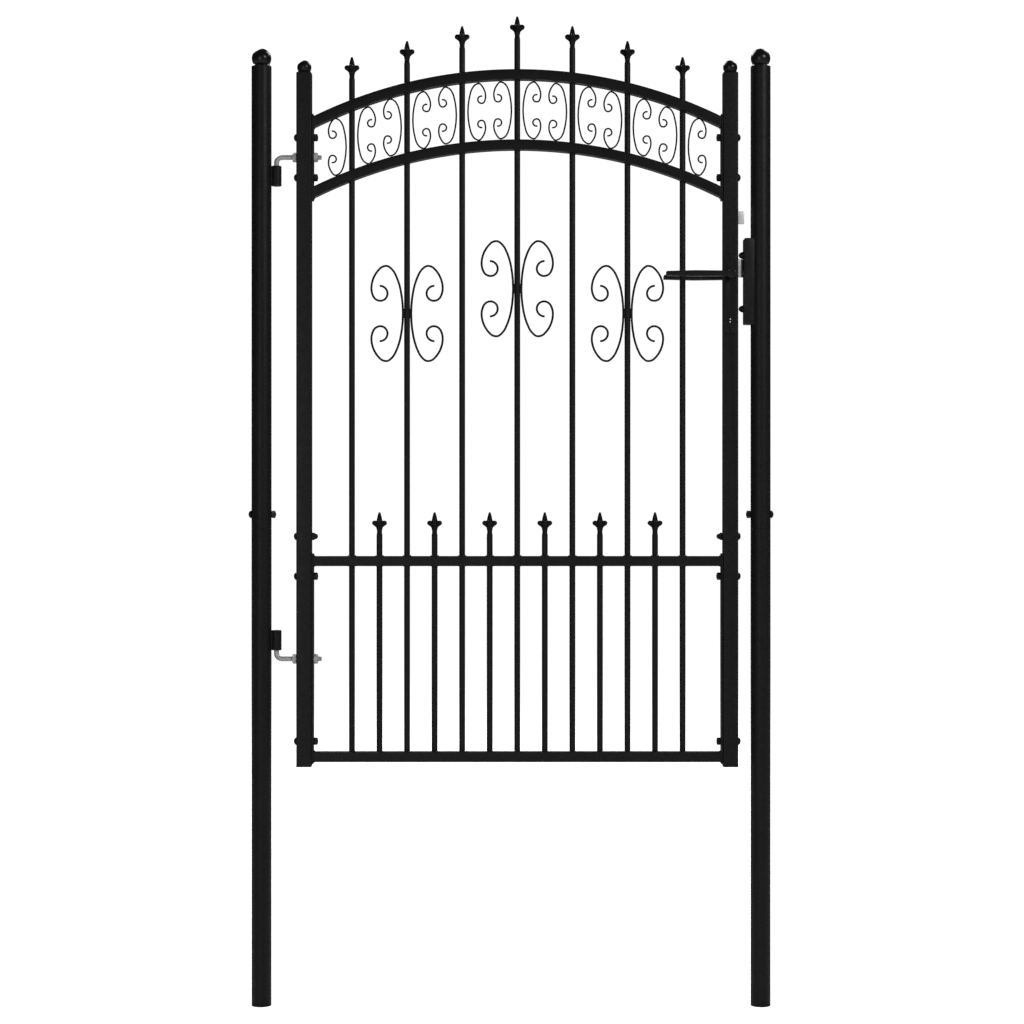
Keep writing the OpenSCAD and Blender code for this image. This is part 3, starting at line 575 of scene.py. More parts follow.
def hexagon(across_flats, at):
    """Radius of a hexagon, held inside a chamfer circle of a given radius."""
    def radius(angle):
        side = across_flats / 2 / math.cos(angle % (math.pi / 3) - math.pi / 6)
        return min(side, at)
    return radius


def hexagon_profile(across_flats, height, rim_share, rise, shares):
    """Profile of a hexagon with both ends chamfered down to a circle."""
    corner = across_flats / math.sqrt(3)
    rim = rim_share * across_flats
    slope = [(hexagon(across_flats, rim + (corner - rim) * t), rise * t) for t in shares]
    return slope + [(r, height - along) for r, along in reversed(slope)]


def nut(bm, foot, direction, across_flats, height, bore):
    """Hexagon nut with both ends chamfered."""
    lead = 0.6 * MM
    profile = hexagon_profile(across_flats, height, 0.475, 1.3 * MM, (0, 0.25, 0.5, 0.75, 1))
    profile += [(bore + lead, height), (bore, height - lead), (bore, lead), (bore + lead, 0)]
    turned(bm, foot, direction, profile, 96, wrap=True)


def acorn(bm, foot, direction, across_flats, height):
    """Cap nut: a chamfered hexagon and a dome."""
    top = height - across_flats / 2
    dome_r = 0.48 * across_flats - 0.5 * MM
    profile = hexagon_profile(across_flats, top, 0.48, 1.2 * MM, (0, 0.5, 1))
    profile += [(dome_r, top + 0.1 * MM)]
    profile += [(r, top + along) for r, along in dome(dome_r, across_flats / 2, 0.6 * MM, 12)]
    turned(bm, foot, direction, profile, 72)


def screw_thread(radius, pitch, depth, along):
    """Radius at each angle of a right-hand thread, at a distance along the screw."""
    def at(angle):
        phase = (along / pitch - angle / TURN) % 1
        return radius - depth * min(1, max(0, 1.6 * abs(2 * phase - 1) - 0.3))
    return at


def threaded(radius, pitch, start, end):
    """Profile of a threaded stretch of a bolt, with five rings for each turn."""
    count = round(5 * (end - start) / pitch)
    places = [start + (end - start) * i / count for i in range(count + 1)]
    return [(screw_thread(radius, pitch, 0.55 * pitch, place), place) for place in places]


def bolt(bm, seat, outward, head_radius, head_height, radius, pitch, reach):
    """Bolt with a domed head; seat is the middle of the surface that the head bears on."""
    thread_length = min(15 * MM, reach - 2 * MM)
    chamfer = 0.8 * MM
    shank = [(radius - chamfer, -reach)]
    shank += threaded(radius, pitch, -reach + chamfer, -reach + thread_length)
    shank += [(radius, -reach + thread_length + pitch), (radius, 0)]
    lip = 0.5 * MM
    head = [(head_radius - lip, 0), (head_radius, lip)]
    head += dome(head_radius, head_height, lip, 12)[1:]
    turned(bm, seat, outward, shank + head, 48)


def make_bolts(node, body):
    """Bolts that run along X, with their domed heads away from the middle of the gate."""
    bm = bmesh.new()
    for low, high in islands(node):
        centre = middle((low, high))
        side = 1 if centre.x > 0 else -1
        seat = Vector((side * (max(abs(low.x), abs(high.x)) - HEAD_H), 0, centre.z))
        bolt(bm, seat, side * X, HEAD_R, HEAD_H, BOLT_R, BOLT_PITCH, high.x - low.x - HEAD_H)
    built(bm, node + "_domed", body, "black_fastener", node)


def make_nuts(node, body, slot, across_flats, rod_r):
    bm = bmesh.new()
    for low, high in islands(node):
        foot = Vector((low.x, 0, middle((low, high)).z))
        nut(bm, foot, X, across_flats, high.x - low.x, rod_r + NUT_SLIP)
    built(bm, node + "_hex", body, slot, node)


def bead(bm, points, radius, up, seed, closed=False):
    """Weld bead with the ripples of a hand-held torch; up is across the bead's path."""
    rng = random.Random(seed)
    sides = 10
    travelled = 0
    rings = []
    count = len(points)
    for i, point in enumerate(points):
        before = points[i - 1] if closed or i else point
        after = points[(i + 1) % count] if closed or i < count - 1 else point
        tangent = (after - before).normalized()
        side = tangent.cross(up).normalized()
        rise = side.cross(tangent).normalized()
        ripple = abs(math.cos(math.pi * travelled / BEAD_RIPPLE))
        swell = radius * (0.86 + 0.16 * ripple + rng.uniform(-0.03, 0.03))
        if not closed:
            swell *= min(1, 0.55 + 0.45 * min(i, count - 1 - i) / 2)
        angles = [TURN * k / sides for k in range(sides)]
        rings.append([point + swell * (math.cos(a) * side + math.sin(a) * rise) for a in angles])
        travelled += (after - point).length
    skin(bm, rings, wrap=closed)


def line_points(start, end):
    count = max(4, round((end - start).length / BEAD_STEP))
    return [start.lerp(end, i / count) for i in range(count + 1)]


# ---------- posts ----------

def post_profile(low, high, spigot_low=None, spigot_high=None):
    """Wall of a post tube, and of its spigot where it has one, as a closed outline."""
    outer = rod_profile(POST_R, low, high)
    bore = POST_R - POST_WALL
    if spigot_high is None:
        return outer + [(bore, high), (bore, low)]
    slim = bore - SPIGOT_SLIP
    return outer + [(slim, high), (slim, spigot_high - CHAMFER), (slim - CHAMFER, spigot_high),
                    (slim - POST_WALL, spigot_high), (slim - POST_WALL, spigot_low),
                    (bore, spigot_low), (bore, low)]


def make_posts():
    for side in ("hinge", "latch"):
        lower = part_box(side + "_post_lower")
        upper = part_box(side + "_post_upper")
        x = middle(upper).x
        seam = upper[0].z
        for part, profile in (
            ("lower", post_profile(0, seam, seam - SPIGOT_HELD, lower[1].z)),
            ("upper", post_profile(seam, upper[1].z)),
        ):
            name = f"{side}_post_{part}"
            bm = bmesh.new()
            turned(bm, Vector((x, 0, 0)), Z, profile, 128, wrap=True)
            built(bm, name + "_tube", "posts", "powder_coat", name)
        make_post_cap(side, x, upper[1].z)


def make_post_cap(side, x, top):
    """Ball cap: a tapered shoulder, a groove under the ball, and a plug that enters the tube."""
    shoulder_h = 5.6 * MM
    plug_r = POST_R - POST_WALL - SPIGOT_SLIP
    profile = [(plug_r - MM, -18 * MM), (plug_r, -17 * MM), (plug_r, 0)]
    profile += [(POST_R - 0.3 * MM, 0), (POST_R, 0.3 * MM),
                (POST_R, 0.8 * MM), (POST_R - 0.5 * MM, 1.5 * MM)]
    profile += [(15.7 * MM, shoulder_h - 0.3 * MM)]
    profile += ball(19.6 * MM, 17.4 * MM, shoulder_h, 40)
    bm = bmesh.new()
    turned(bm, Vector((x, 0, top)), Z, profile, 96)
    built(bm, side + "_post_ball_cap", "posts", "black_cap", side + "_post_cap", sharp=SHARP_CAP)


def make_sleeves():
    """Hinge sleeves, each with a weld bead down both sides of the joint with the post."""
    lead = 0.7 * MM
    bore = HINGE_R + NUT_SLIP
    bead_r = 2.5 * MM
    joint_x, joint_y = HINGE_X - SLEEVE_R + 0.3 * MM, 5.3 * MM
    inset = 2 * MM
    for name in ("top_hinge_sleeve", "bottom_hinge_sleeve"):
        low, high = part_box(name)
        length = high.z - low.z
        profile = [(bore + lead, 0), (SLEEVE_R - lead, 0), (SLEEVE_R, lead),
                   (SLEEVE_R, length - lead), (SLEEVE_R - lead, length),
                   (bore + lead, length), (bore, length - lead), (bore, lead)]
        bm = bmesh.new()
        turned(bm, Vector((HINGE_X, 0, low.z)), Z, profile, 64, wrap=True)
        for side in (-1, 1):
            start = Vector((joint_x, side * joint_y, low.z + inset))
            end = start + (length - 2 * inset) * Z
            bead(bm, line_points(start, end), bead_r, side * Y, seed=7 + side)
        built(bm, name + "_welded", "posts", "powder_coat", name)


def make_strike():
    """Strike box with its two domed screws, and the small plug in the front of the latch post."""
    softened("strike_box", "posts", "powder_coat", (longer(6 * MM), 0.8 * MM, 3))
    bm = bmesh.new()
    for low, high in islands("strike_screws"):
        seat = Vector((low.x + STRIKE_HEAD_H, 0, middle((low, high)).z))
        reach = high.x - low.x - STRIKE_HEAD_H
        bolt(bm, seat, -X, STRIKE_HEAD_R, STRIKE_HEAD_H, 3 * MM, MM, reach)
    built(bm, "strike_domed_screws", "posts", "black_fastener", "strike_screws")
    plug = middle(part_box("post_plug"))
    bm = bmesh.new()
    bolt(bm, Vector((plug.x, -POST_R, plug.z)), -Y, 3.5 * MM, 1.8 * MM, 2.5 * MM, 0.8 * MM, 5 * MM)
    built(bm, "post_plug_domed", "posts", "black_fastener", "post_plug")


# ---------- leaf frame ----------

def upright_place(x):
    return lambda u, v, z: Vector((x + u, v, z))


def make_stiles():
    spigot_up = 60 * MM
    for side in ("hinge", "latch"):
        x = middle(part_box(side + "_stile_upper")).x
        for part, (bottom, top) in STILE_SPANS.items():
            name = f"{side}_stile_{part}"
            bm = bmesh.new()
            hollow(bm, STILE_W, STILE_W, STILE_CORNER, STILE_WALL, upright_place(x),
                   eased(bottom, top))
            if part == "lower":
                slim = STILE_W - 2 * STILE_WALL - 2 * SPIGOT_SLIP
                hollow(bm, slim, slim, MM, STILE_WALL, upright_place(x),
                       eased(top - SPIGOT_HELD, top + spigot_up))
            mesh = finished(bm, name)
            if name == "latch_stile_upper":
                mesh = carved(mesh, *lock_cutters(x))
            piece(name + "_tube", mesh, "leaf", "powder_coat", name)
        make_stile_cap(side, x, STILE_SPANS["upper"][1])


def lock_cutters(x):
    """What the latch stile is cut with: the faceplate's pocket, the spindle hole, the keyhole."""
    low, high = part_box("lock_faceplate")
    slip = 0.1 * MM
    pocket = block_mesh((low.x - 2 * MM, low.y - slip, low.z - slip),
                        (high.x + 5 * MM, high.y + slip, high.z + slip))
    spindle = rod_mesh(Vector((x, -0.03, SPINDLE_Z)), Y, 8.6 * MM, 0.06)
    half_w, half_h = 2.3 * MM, 5.4 * MM
    keyhole = block_mesh((x - half_w, -0.05, KEYHOLE_Z - half_h),
                         (x + half_w, 0.05, KEYHOLE_Z + half_h))
    return pocket, spindle, keyhole


def rounded_square(half, corner=STILE_CORNER):
    """Radius of a square with rounded corners at each angle, with its flats square to the axes."""
    reach = math.sqrt(2) * (half - corner)
    limit = math.pi / 4 - math.atan((half - corner) / half)

    def radius(angle):
        off = angle % (math.pi / 2) - math.pi / 4
        if abs(off) < limit:
            return reach * math.cos(off) + math.sqrt(corner ** 2 - (reach * math.sin(off)) ** 2)
        return half / math.cos(math.pi / 4 - abs(off))
    return radius


def make_stile_cap(side, x, top):
    """Ball cap on a tapered square shoulder, with a square plug that enters the tube."""
    shoulder_h = 5 * MM
    plug = rounded_square(STILE_W / 2 - STILE_WALL - SPIGOT_SLIP, MM)
    half = STILE_W / 2
    profile = [(plug, -16 * MM), (plug, 0), (rounded_square(half - 0.3 * MM), 0)]
    profile += [(rounded_square(half), 0.3 * MM), (rounded_square(half), 0.8 * MM)]
    profile += [(rounded_square(half - 0.6 * MM), 1.4 * MM), (rounded_square(10.5 * MM), shoulder_h)]
    profile += ball(14.3 * MM, 12.8 * MM, shoulder_h + 0.3 * MM, 36)
    bm = bmesh.new()
    turned(bm, Vector((x, 0, top)), Z, profile, 96)
    built(bm, side + "_stile_ball_cap", "leaf", "black_cap", side + "_stile_cap", sharp=SHARP_CAP)


def make_strips():
    for side in ("hinge", "latch"):
        for part in ("lower", "upper"):
            softened(f"{side}_strip_{part}", "leaf", "powder_coat", (longer(3 * MM), 0.7 * MM, 3))


def arch_crown(node):
    """Height of an arch's centre line at its highest point."""
    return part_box(node)[1].z - RAIL_H / 2


def arch_place(crown):
    """Place on an arch: across is outward from its centre, deep is along Y, t goes end to end."""
    def place(u, v, t):
        radius = ARCH_R + u
        angle = (2 * t - 1) * math.asin(BAY / radius)
        z = crown - ARCH_R + radius * math.cos(angle)
        return Vector((LEAF_X + radius * math.sin(angle), v, z))
    return place


def make_rails():
    steps = 96
    for name in ("upper_arch", "lower_arch"):
        bm = bmesh.new()
        hollow(bm, RAIL_H, RAIL_DEPTH, TUBE_CORNER, TUBE_WALL, arch_place(arch_crown(name)),
               [i / steps for i in range(steps + 1)])
        built(bm, name + "_tube", "leaf", "powder_coat", name)
    for name in ("mid_rail", "bottom_rail"):
        z = middle(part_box(name)).z
        bm = bmesh.new()
        hollow(bm, RAIL_H, RAIL_DEPTH, TUBE_CORNER, TUBE_WALL,
               lambda u, v, x: Vector((x, v, z + u)), eased(LEAF_X - BAY, LEAF_X + BAY))
        built(bm, name + "_tube", "leaf", "powder_coat", name)


def arch_height(node, face, x):
    """Height of an arch's outer (+1) or inner (-1) face at x."""
    radius = ARCH_R + face * RAIL_H / 2
    return arch_crown(node) - ARCH_R + math.sqrt(radius ** 2 - (x - LEAF_X) ** 2)


def ring_bead(bm, x, radius, height_at, seed):
    """Weld bead round an upright bar, following the surface that it stands on."""
    count = 56
    points = []
    for i in range(count):
        angle = TURN * i / count
        px = x + (BAR_R + 0.35 * radius) * math.cos(angle)
        py = (BAR_R + 0.35 * radius) * math.sin(angle)
        points.append(Vector((px, py, height_at(px))))
    bead(bm, points, radius, Z, seed, closed=True)


def make_welds():
    """Beads where bars cross arches and rails, and where rails and arches meet the side strips."""
    bm = bmesh.new()
    long_x = [middle(box).x for box in islands("long_bars")]
    all_x = sorted(long_x + [middle(box).x for box in islands("pickets")])
    rail_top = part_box("mid_rail")[1].z
    sunk = 0.2 * MM
    flats = (
        (rail_top - sunk, 2.1 * MM, 20),
        (rail_top - RAIL_H + sunk, 1.2 * MM, 40),
        (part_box("bottom_rail")[1].z - sunk, 1.3 * MM, 60),
    )
    for n, x in enumerate(all_x):
        for height, radius, seed in flats:
            ring_bead(bm, x, radius, lambda px: height, seed + n)
    faces = [(node, face) for node in ("upper_arch", "lower_arch") for face in (-1, 1)]
    for n, x in enumerate(long_x):
        for node, face in faces:
            ring_bead(bm, x, 1.3 * MM, lambda px: arch_height(node, face, px), 80 + n)
    half = RAIL_DEPTH / 2 - 2 * MM
    for side in (-1, 1):
        end = LEAF_X + side * (BAY - 0.6 * MM)
        heights = [arch_height(node, face, end) for node, face in faces]
        heights += [corner.z for node in ("mid_rail", "bottom_rail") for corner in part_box(node)]
        for n, z in enumerate(heights):
            points = line_points(Vector((end, -half, z)), Vector((end, half, z)))
            bead(bm, points, 1.7 * MM, Z, seed=120 + n)
    built(bm, "frame_weld_beads", "leaf", "powder_coat", sharp=SHARP_BEAD)


# ---------- bars, spears and scrolls ----------

def make_bars():
    for node in ("long_bars", "lower_bars", "pickets"):
        for n, (low, high) in enumerate(islands(node)):
            bm = bmesh.new()
            foot = Vector((middle((low, high)).x, 0, 0))
            turned(bm, foot, Z, rod_profile(BAR_R, low.z, high.z), 40)
            built(bm, f"{node[:-1]}_{n + 1}", "leaf", "powder_coat", node)


def spear_outline():
    """Half outline of a spear from its foot to its tip, as (radius, height) points in mm."""
    arc = [math.radians(-62 + 157 * i / 12) for i in range(13)]
    lobe = [(LOBE_X + LOBE_R * math.cos(a), LOBE_Z + LOBE_R * math.sin(a)) for a in arc]
    return SPEAR_SIDE + lobe + SPEAR_BLADE


def spear_mesh():
    """Cast spear standing on the origin: a collar, four lobes and a ridged blade."""
    bm = bmesh.new()
    side = [(u * MM, v * MM) for u, v in spear_outline()]
    outline = side + [(-u, v) for u, v in reversed(side)]
    arc = [math.radians(8 + 164 * i / 12) for i in range(13)]
    lobe = [(4.7 * MM * math.sin(a), 3.9 * MM * math.cos(a)) for a in arc]
    for axis in (X, Y):
        across = axis.cross(Z)
        skin(bm, [[u * axis + v * Z + d * across for u, v in outline]
                  for d in (-SPEAR_HALF_DEPTH, SPEAR_HALF_DEPTH)])
        for sign in (-1, 1):
            foot = sign * LOBE_X * MM * axis + LOBE_Z * MM * Z
            turned(bm, foot, across, lobe, 24)

    def ridged(radius):
        return lambda angle: radius * MM * (1 - 0.13 * math.sin(2 * angle) ** 2)

    profile = [(r * MM, z * MM) for r, z in SPEAR_CORE]
    profile += [(ridged(r), z * MM) for r, z in SPEAR_BLADE]
    turned(bm, Vector(), Z, profile, 64)
    return cast(finished(bm, "spear"), 0.45 * MM, 0.3, 5)


def make_spears():
    mesh = spear_mesh()
    for node, stem in (("long_bar_spears", "spear"), ("picket_spears", "picket_spear")):
        for n, box in enumerate(islands(node)):
            foot = Vector((middle(box).x, 0, box[0].z))
            piece(f"{stem}_{n + 1}", moved(mesh, foot), "leaf", "powder_coat", node)


def scroll_path(arcs, back, side):
    """Points of a scroll with their directions and distances from the middle of its back."""
    half = []
    x = z = along = 0
    heading = math.pi / 2
    for n, (radius, sweep_deg) in enumerate(arcs):
        count = max(3, round(sweep_deg / 7))
        for i in range(count + (n == len(arcs) - 1)):
            turn = math.radians(sweep_deg) * i / count
            now = heading - turn
            px = x + radius * (math.sin(heading) - math.sin(now))
            pz = z + radius * (math.cos(now) - math.cos(heading))
            half.append((px, pz, now, along + radius * turn))
        turn = math.radians(sweep_deg)
        x += radius * (math.sin(heading) - math.sin(heading - turn))
        z += radius * (math.cos(heading - turn) - math.cos(heading))
        heading -= turn
        along += radius * turn
    path = []
    for sign, points in ((-1, reversed(half[1:])), (1, half)):
        for px, pz, now, distance in points:
            point = back + Vector((side * px, 0, sign * pz))
            tangent = Vector((sign * side * math.cos(now), 0, math.sin(now)))
            path.append((point, tangent, sign * distance))
    return path, along


def make_scroll(name, arcs, rod_r, back, side, node):
    """Round rod bent into a scroll, with its cut ends dressed round."""
    path, reach = scroll_path([(r * MM, a) for r, a in arcs], back, side)
    last = rod_r * 0.7
    steps = (0.4 * last, 0.75 * last, last)
    path += [(p + step * t, t, d + step) for p, t, d in path[-1:] for step in steps]
    path = [(p - step * t, t, d - step) for p, t, d in path[:1] for step in steps[::-1]] + path

    def radius(along, angle):
        past = max(0, abs(along) - reach) / last
        return rod_r * math.sqrt(max(0.03, 1 - past ** 2))

    bm = bmesh.new()
    sweep(bm, path, radius, 16)
    built(bm, name, "leaf", "powder_coat", node, sharp=SHARP_ROD)


def make_scrolls():
    """Three pairs of large scrolls welded to their bars, and fourteen small ones in the band."""
    hands = ((-1, "left"), (1, "right"))
    weld_x, weld_y, weld_z, weld_r = 6.6 * MM, 1.5 * MM, 9.5 * MM, 2.1 * MM
    welds = bmesh.new()
    for node in ("left_scroll_pair", "centre_scroll_pair", "right_scroll_pair"):
        centre = middle(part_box(node))
        for side, hand in hands:
            back = Vector((centre.x + side * PAIR_OFF, 0, centre.z))
            make_scroll(f"{node}_{hand}", PAIR_ARCS, PAIR_ROD_R, back, side, node)
            for face in (-1, 1):
                start = Vector((centre.x + side * weld_x, face * weld_y, centre.z - weld_z))
                points = line_points(start, start + 2 * weld_z * Z)
                bead(welds, points, weld_r, face * Y, seed=150 + side + 3 * face)
    crown = (arch_crown("lower_arch") + arch_crown("upper_arch")) / 2
    for k in range(-3, 4):
        for side, hand in hands:
            dx = k * PITCH + side * (BAND_OFF + BAND_MIDDLE)
            z = crown - ARCH_R + math.sqrt(ARCH_R ** 2 - dx ** 2)
            back = Vector((LEAF_X + k * PITCH + side * BAND_OFF, 0, z))
            half = "left" if (k, side) < (0, 0) else "right"
            make_scroll(f"band_scroll_{k + 4}_{hand}", BAND_ARCS, BAND_ROD_R, back, side,
                        "band_scrolls_" + half)
    built(welds, "scroll_weld_beads", "leaf", "powder_coat", sharp=SHARP_BEAD)


# ---------- fasteners ----------

def make_acorn_nuts():
    bm = bmesh.new()
    for low, high in islands("acorn_nuts"):
        centre = middle((low, high))
        side = 1 if centre.x > 0 else -1
        foot = Vector((high.x if side > 0 else low.x, 0, centre.z))
        acorn(bm, foot, -side * X, NUT_FLATS, high.x - low.x)
    built(bm, "acorn_nuts_domed", "leaf", "black_fastener", "acorn_nuts")


def hinge_path(low, high, up):
    """Centre line of a hinge bolt from the end in its sleeve, round the bend and to its tip."""
    sign = 1 if up else -1
    leg_z = high.z - HINGE_R if up else low.z + HINGE_R
    foot_z = low.z if up else high.z
    x = low.x + HINGE_R
    start = Vector((x, 0, foot_z))
    bend = Vector((x, 0, leg_z - sign * BEND_R))
    along = (bend - start).length
    path = [(start + sign * at * Z, sign * Z, at) for at in (0, 0.3 * MM, MM, along)]
    steps = 16
    for i in range(1, steps + 1):
        a = math.pi / 2 * i / steps
        point = bend + BEND_R * Vector((1 - math.cos(a), 0, sign * math.sin(a)))
        path.append((point, Vector((math.sin(a), 0, sign * math.cos(a))), along + BEND_R * a))
    along += BEND_R * math.pi / 2
    corner = bend + BEND_R * Vector((1, 0, sign))
    length = high.x - corner.x
    count = round(length / (0.25 * MM))
    for i in range(1, count + 1):
        path.append((corner + length * i / count * X, X.copy(), along + length * i / count))
    return path, along + length, along


def make_hinge_bolts():
    """J-shaped bolts, threaded from a little before their first nut to their tip."""
    thread_x = min(box[0].x for box in islands("hinge_nuts")) - 3 * MM
    tip = 1.2 * MM
    for node in ("top_hinge_bolt", "bottom_hinge_bolt"):
        low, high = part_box(node)
        path, length, bend_end = hinge_path(low, high, node == "top_hinge_bolt")
        thread_start = bend_end + thread_x - (low.x + HINGE_R + BEND_R)

        def radius(along, angle):
            chamfer = min(tip, length - along, along)
            r = HINGE_R - 0.9 * (tip - chamfer)
            if along < thread_start:
                return r
            return min(r, screw_thread(HINGE_R, HINGE_PITCH, 0.8 * MM, along)(angle))

        bm = bmesh.new()
        sweep(bm, path, radius, 32)
        built(bm, node + "_threaded", "leaf", "zinc", node, sharp=SHARP_ROD)


# ---------- lock ----------

def corner_edge(node):
    """Test for the four short edges along Y at a backplate's outer corners."""
    middle_x = middle(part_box(node)).x
    half_w = 13 * MM

    def test(edge):
        a, b = (v.co for v in edge.verts)
        along_y = abs(a.x - b.x) < 1e-5 and abs(a.z - b.z) < 1e-5
        outer = abs(abs(a.x - middle_x) - half_w) < MM
        return along_y and 2 * MM < abs(a.y - b.y) < 4 * MM and outer
    return test


def make_lock():
    for node in ("lock_case", "lock_cover", "spindle", "follower", "lever_grub_screws"):
        keep(node, "zinc")
    make_spring()
    softened("lock_faceplate", "leaf", "lock_steel", (longer(15 * MM), 0.3 * MM, 2))
    softened("latch_bolt", "latch", "lock_steel", (longer(3 * MM), 0.4 * MM, 2))
    softened("dead_bolt", "dead_bolt", "lock_steel", (longer(3 * MM), 0.8 * MM, 3))
    for node in ("front_backplate", "rear_backplate"):
        softened(node, "leaf", "powder_coat", (corner_edge(node), 4 * MM, 6),
                 (longer(0.5 * MM), 0.5 * MM, 2))
    make_small_screws()


def make_spring():
    """Coil spring behind the latch bolt, built at one fixed length."""
    low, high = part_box("latch_spring")
    wire_r = 0.35 * MM
    coil_r = (high.y - low.y) / 2 - wire_r
    turns, steps, sides = 8, 28, 10
    start = low.x + wire_r
    length = high.x - low.x - 2 * wire_r
    z = middle((low, high)).z
    bm = bmesh.new()
    rings = []
    for i in range(turns * steps + 1):
        angle = TURN * i / steps
        outward = Vector((0, math.cos(angle), math.sin(angle)))
        around = Vector((0, -math.sin(angle), math.cos(angle)))
        centre = Vector((start + length * (i / (turns * steps)), 0, z)) + coil_r * outward
        tangent = Vector((length, 0, 0)) / (TURN * turns) + coil_r * around
        across = tangent.normalized().cross(outward)
        rings.append([centre + wire_r * (math.cos(b) * outward + math.sin(b) * across)
                      for b in [TURN * k / sides for k in range(sides)]])
    skin(bm, rings)
    spring = built(bm, "latch_coil_spring", "leaf", "spring_steel", "latch_spring")
    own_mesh(spring)


def cross_cutters(centre, outward, width, depth):
    """Two crossed blades that cut a screwdriver recess, each wider at its top."""
    thick = 0.16 * width
    levels = ((0.18 * width, 0.6 * thick, -depth), (width / 2, thick / 2 * 1.3, 0.5 * MM))
    tools = []
    for axis in axes_for(outward):
        other = outward.cross(axis)
        rings = []
        for half_w, half_t, at in levels:
            rings.append([centre + at * outward + u * half_w * axis + v * half_t * other
                          for u, v in ((-1, -1), (1, -1), (1, 1), (-1, 1))])
        bm = bmesh.new()
        skin(bm, rings)
        tools.append(finished(bm, "cutter"))
    return tools


def make_small_screws():
    """Domed screws of the backplates and countersunk ones of the faceplate, with cross recesses."""
    shank_r = 2 * MM
    for node, slot, head_r, head_h in (
        ("backplate_screws", "black_fastener", 3.8 * MM, 1.6 * MM),
        ("lock_screws", "lock_steel", 3.9 * MM, 0),
    ):
        for n, box in enumerate(islands(node)):
            centre = middle(box)
            if node == "lock_screws":
                outward, seat, reach = X, Vector((box[1].x, 0, centre.z)), box[1].x - box[0].x
                head = [(shank_r, -2 * MM), (head_r, -0.15 * MM), (head_r - 0.1 * MM, 0)]
            else:
                outward = Y if centre.y > 0 else -Y
                far = max(abs(box[0].y), abs(box[1].y))
                seat = Vector((centre.x, math.copysign(far - head_h, centre.y), centre.z))
                reach = box[1].y - box[0].y - head_h
                head = [(shank_r, 0), (head_r, 0)] + dome(head_r, head_h, 0.3 * MM, 8)
            profile = [(shank_r - 0.5 * MM, -reach), (shank_r, -reach + 0.5 * MM)] + head
            bm = bmesh.new()
            turned(bm, seat, outward, profile, 40)
            name = f"{node[:-1]}_{n + 1}"
            cutters = cross_cutters(seat + head_h * outward, outward, 1.1 * head_r, 1.6 * MM)
            piece(name, carved(finished(bm, name), *cutters), "leaf", slot, node)


def lever_mesh(node, side):
    """Cast lever: a round boss on a neck, and a grip that is fullest a little past its middle."""
    low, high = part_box(node)
    tip = (LATCH_X - low.x) / MM
    tip_start = tip - 3
    depth = 2 * LEVER_HALF_DEPTH
    stations = [(at, half_h, 0) for at, half_h in GRIP]
    stations += [(tip - 1.2, 4.75, 0.0), (tip - 0.5, 4.72, 0.3), (tip + 0.2, 4.7, 1.0)]
    bm = bmesh.new()
    rings = []
    for at, half_h, shrink in stations:
        outline = rectangle(depth - 2 * shrink * MM, 2 * (half_h - shrink) * MM,
                            (3.2 - shrink) * MM, 6)
        ring = []
        for u, v in outline:
            slant = 0.4 * (1 + v / (half_h * MM)) * MM if at > tip_start else 0
            ring.append(Vector((LATCH_X - at * MM + slant, side * LEVER_OFF + u, SPINDLE_Z + v)))
        rings.append(ring)
    skin(bm, rings)
    round_r = 2.2 * MM
    boss_r = 9 * MM
    boss = [(boss_r, 0)]
    boss += [(boss_r - round_r + round_r * math.cos(a), depth - round_r + round_r * math.sin(a))
             for a in [math.pi / 2 * i / 6 for i in range(7)]]
    boss_foot = Vector((LATCH_X, side * LEVER_OFF - side * LEVER_HALF_DEPTH, SPINDLE_Z))
    turned(bm, boss_foot, side * Y, boss, 64)
    neck_start = 15.5 * MM
    neck = [(8 * MM, 0), (8 * MM, 9 * MM), (7.2 * MM, 12 * MM),
            (8.6 * MM, LEVER_OFF - LEVER_HALF_DEPTH - neck_start + 2 * MM)]
    turned(bm, Vector((LATCH_X, side * neck_start, SPINDLE_Z)), side * Y, neck, 64)
    return cast(finished(bm, node), 0.5 * MM, 0.35, 3)


def make_levers():
    for side, node in ((-1, "front_lever"), (1, "rear_lever")):
        piece(node + "_cast", lever_mesh(node, side), "handle", "black_lever", node)


# ---------- studio ----------

# Place, what it points at, sides and power of each area light
LIGHTS = {
    "key": ((2.8, -3.0, 3.0), (0, 0, 1.1), 1.3, 62),
    "front": ((-1.6, -5.0, 1.4), (0, 0, 1.0), 2.2, 34),
    "back_left": ((-2.4, 4.0, 5.2), (0, 0, 1.0), 2.4, 170),
    "back_right": ((2.6, 3.4, 5.2), (0, 0, 1.0), 2.0, 120),
}


def area_light(name, place, target, side, power):
    data = bpy.data.lights.new(name, "AREA")
    data.shape = "RECTANGLE"
    data.size = data.size_y = side
    data.energy = power
    light = linked(name, data)
    light.location = place
    toward = Vector(target) - Vector(place)
    light.rotation_euler = toward.to_track_quat("-Z", "Y").to_euler()


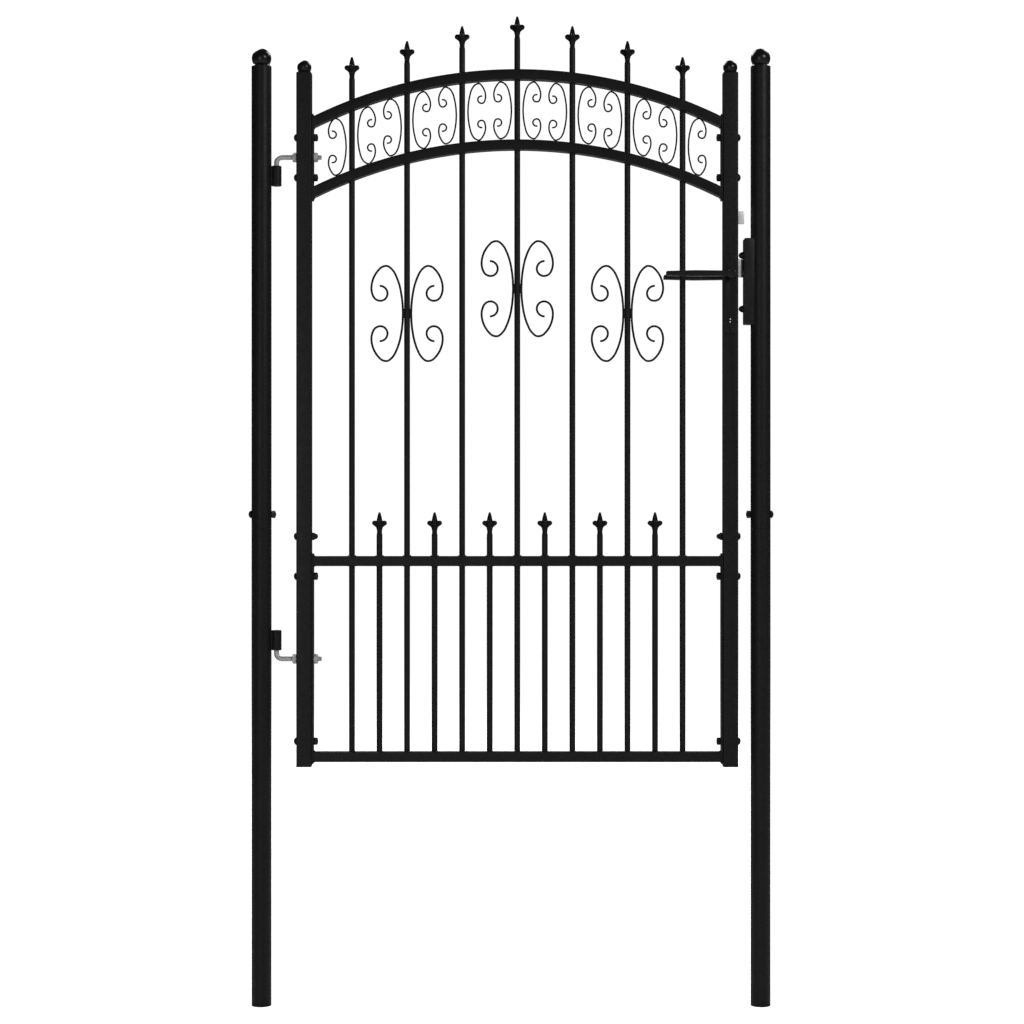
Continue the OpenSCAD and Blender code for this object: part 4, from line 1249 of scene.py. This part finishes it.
def make_floor():
    """Plain floor that looks white to the camera and is dull to everything else."""
    half = 60
    below = 0.0003
    bm = bmesh.new()
    bm.faces.new([bm.verts.new((x * half, y * half, -below))
                  for x, y in ((-1, -1), (1, -1), (1, 1), (-1, 1))])
    mesh = bpy.data.meshes.new("studio_floor")
    bm.to_mesh(mesh)
    bm.free()
    floor = linked("studio_floor", mesh)
    surface = Surface("studio_floor")
    inputs = surface.shader.inputs
    inputs["Base Color"].default_value = (0.93, 0.93, 0.93, 1)
    inputs["Roughness"].default_value = 0.9
    inputs["Specular IOR Level"].default_value = 0.0
    inputs["Emission Color"].default_value = (1, 1, 1, 1)
    seen = surface.add("ShaderNodeLightPath").outputs["Is Camera Ray"]
    surface.link(surface.spread(seen, 0.03, 1.0, 0, 1), inputs["Emission Strength"])
    mesh.materials.append(surface.material)


def make_world():
    """White surround that is bright to the camera and dull to everything else."""
    world = bpy.data.worlds.new("studio")
    world.use_nodes = True
    tree = world.node_tree
    background = tree.nodes["Background"]
    background.inputs["Color"].default_value = (1, 1, 1, 1)
    path = tree.nodes.new("ShaderNodeLightPath")
    strength = tree.nodes.new("ShaderNodeMapRange")
    strength.inputs["To Min"].default_value = 0.035
    strength.inputs["To Max"].default_value = 1.05
    tree.links.new(path.outputs["Is Camera Ray"], strength.inputs["Value"])
    tree.links.new(strength.outputs["Result"], background.inputs["Strength"])
    bpy.context.scene.world = world
    bpy.context.scene.view_settings.view_transform = "Standard"


def make_studio():
    make_floor()
    make_world()
    for name, values in LIGHTS.items():
        area_light(name, *values)


make_camera()
make_posts()
make_bolts("post_bolts", "posts")
make_nuts("post_nuts", "posts", "black_fastener", NUT_FLATS, BOLT_R)
make_sleeves()
make_strike()
make_stiles()
make_strips()
make_rails()
make_bars()
make_spears()
make_scrolls()
make_welds()
make_bolts("frame_bolts", "leaf")
make_nuts("frame_nuts", "leaf", "black_fastener", NUT_FLATS, BOLT_R)
make_acorn_nuts()
make_hinge_bolts()
make_nuts("hinge_nuts", "leaf", "zinc", HINGE_NUT_FLATS, HINGE_R)
make_lock()
make_levers()
make_studio()
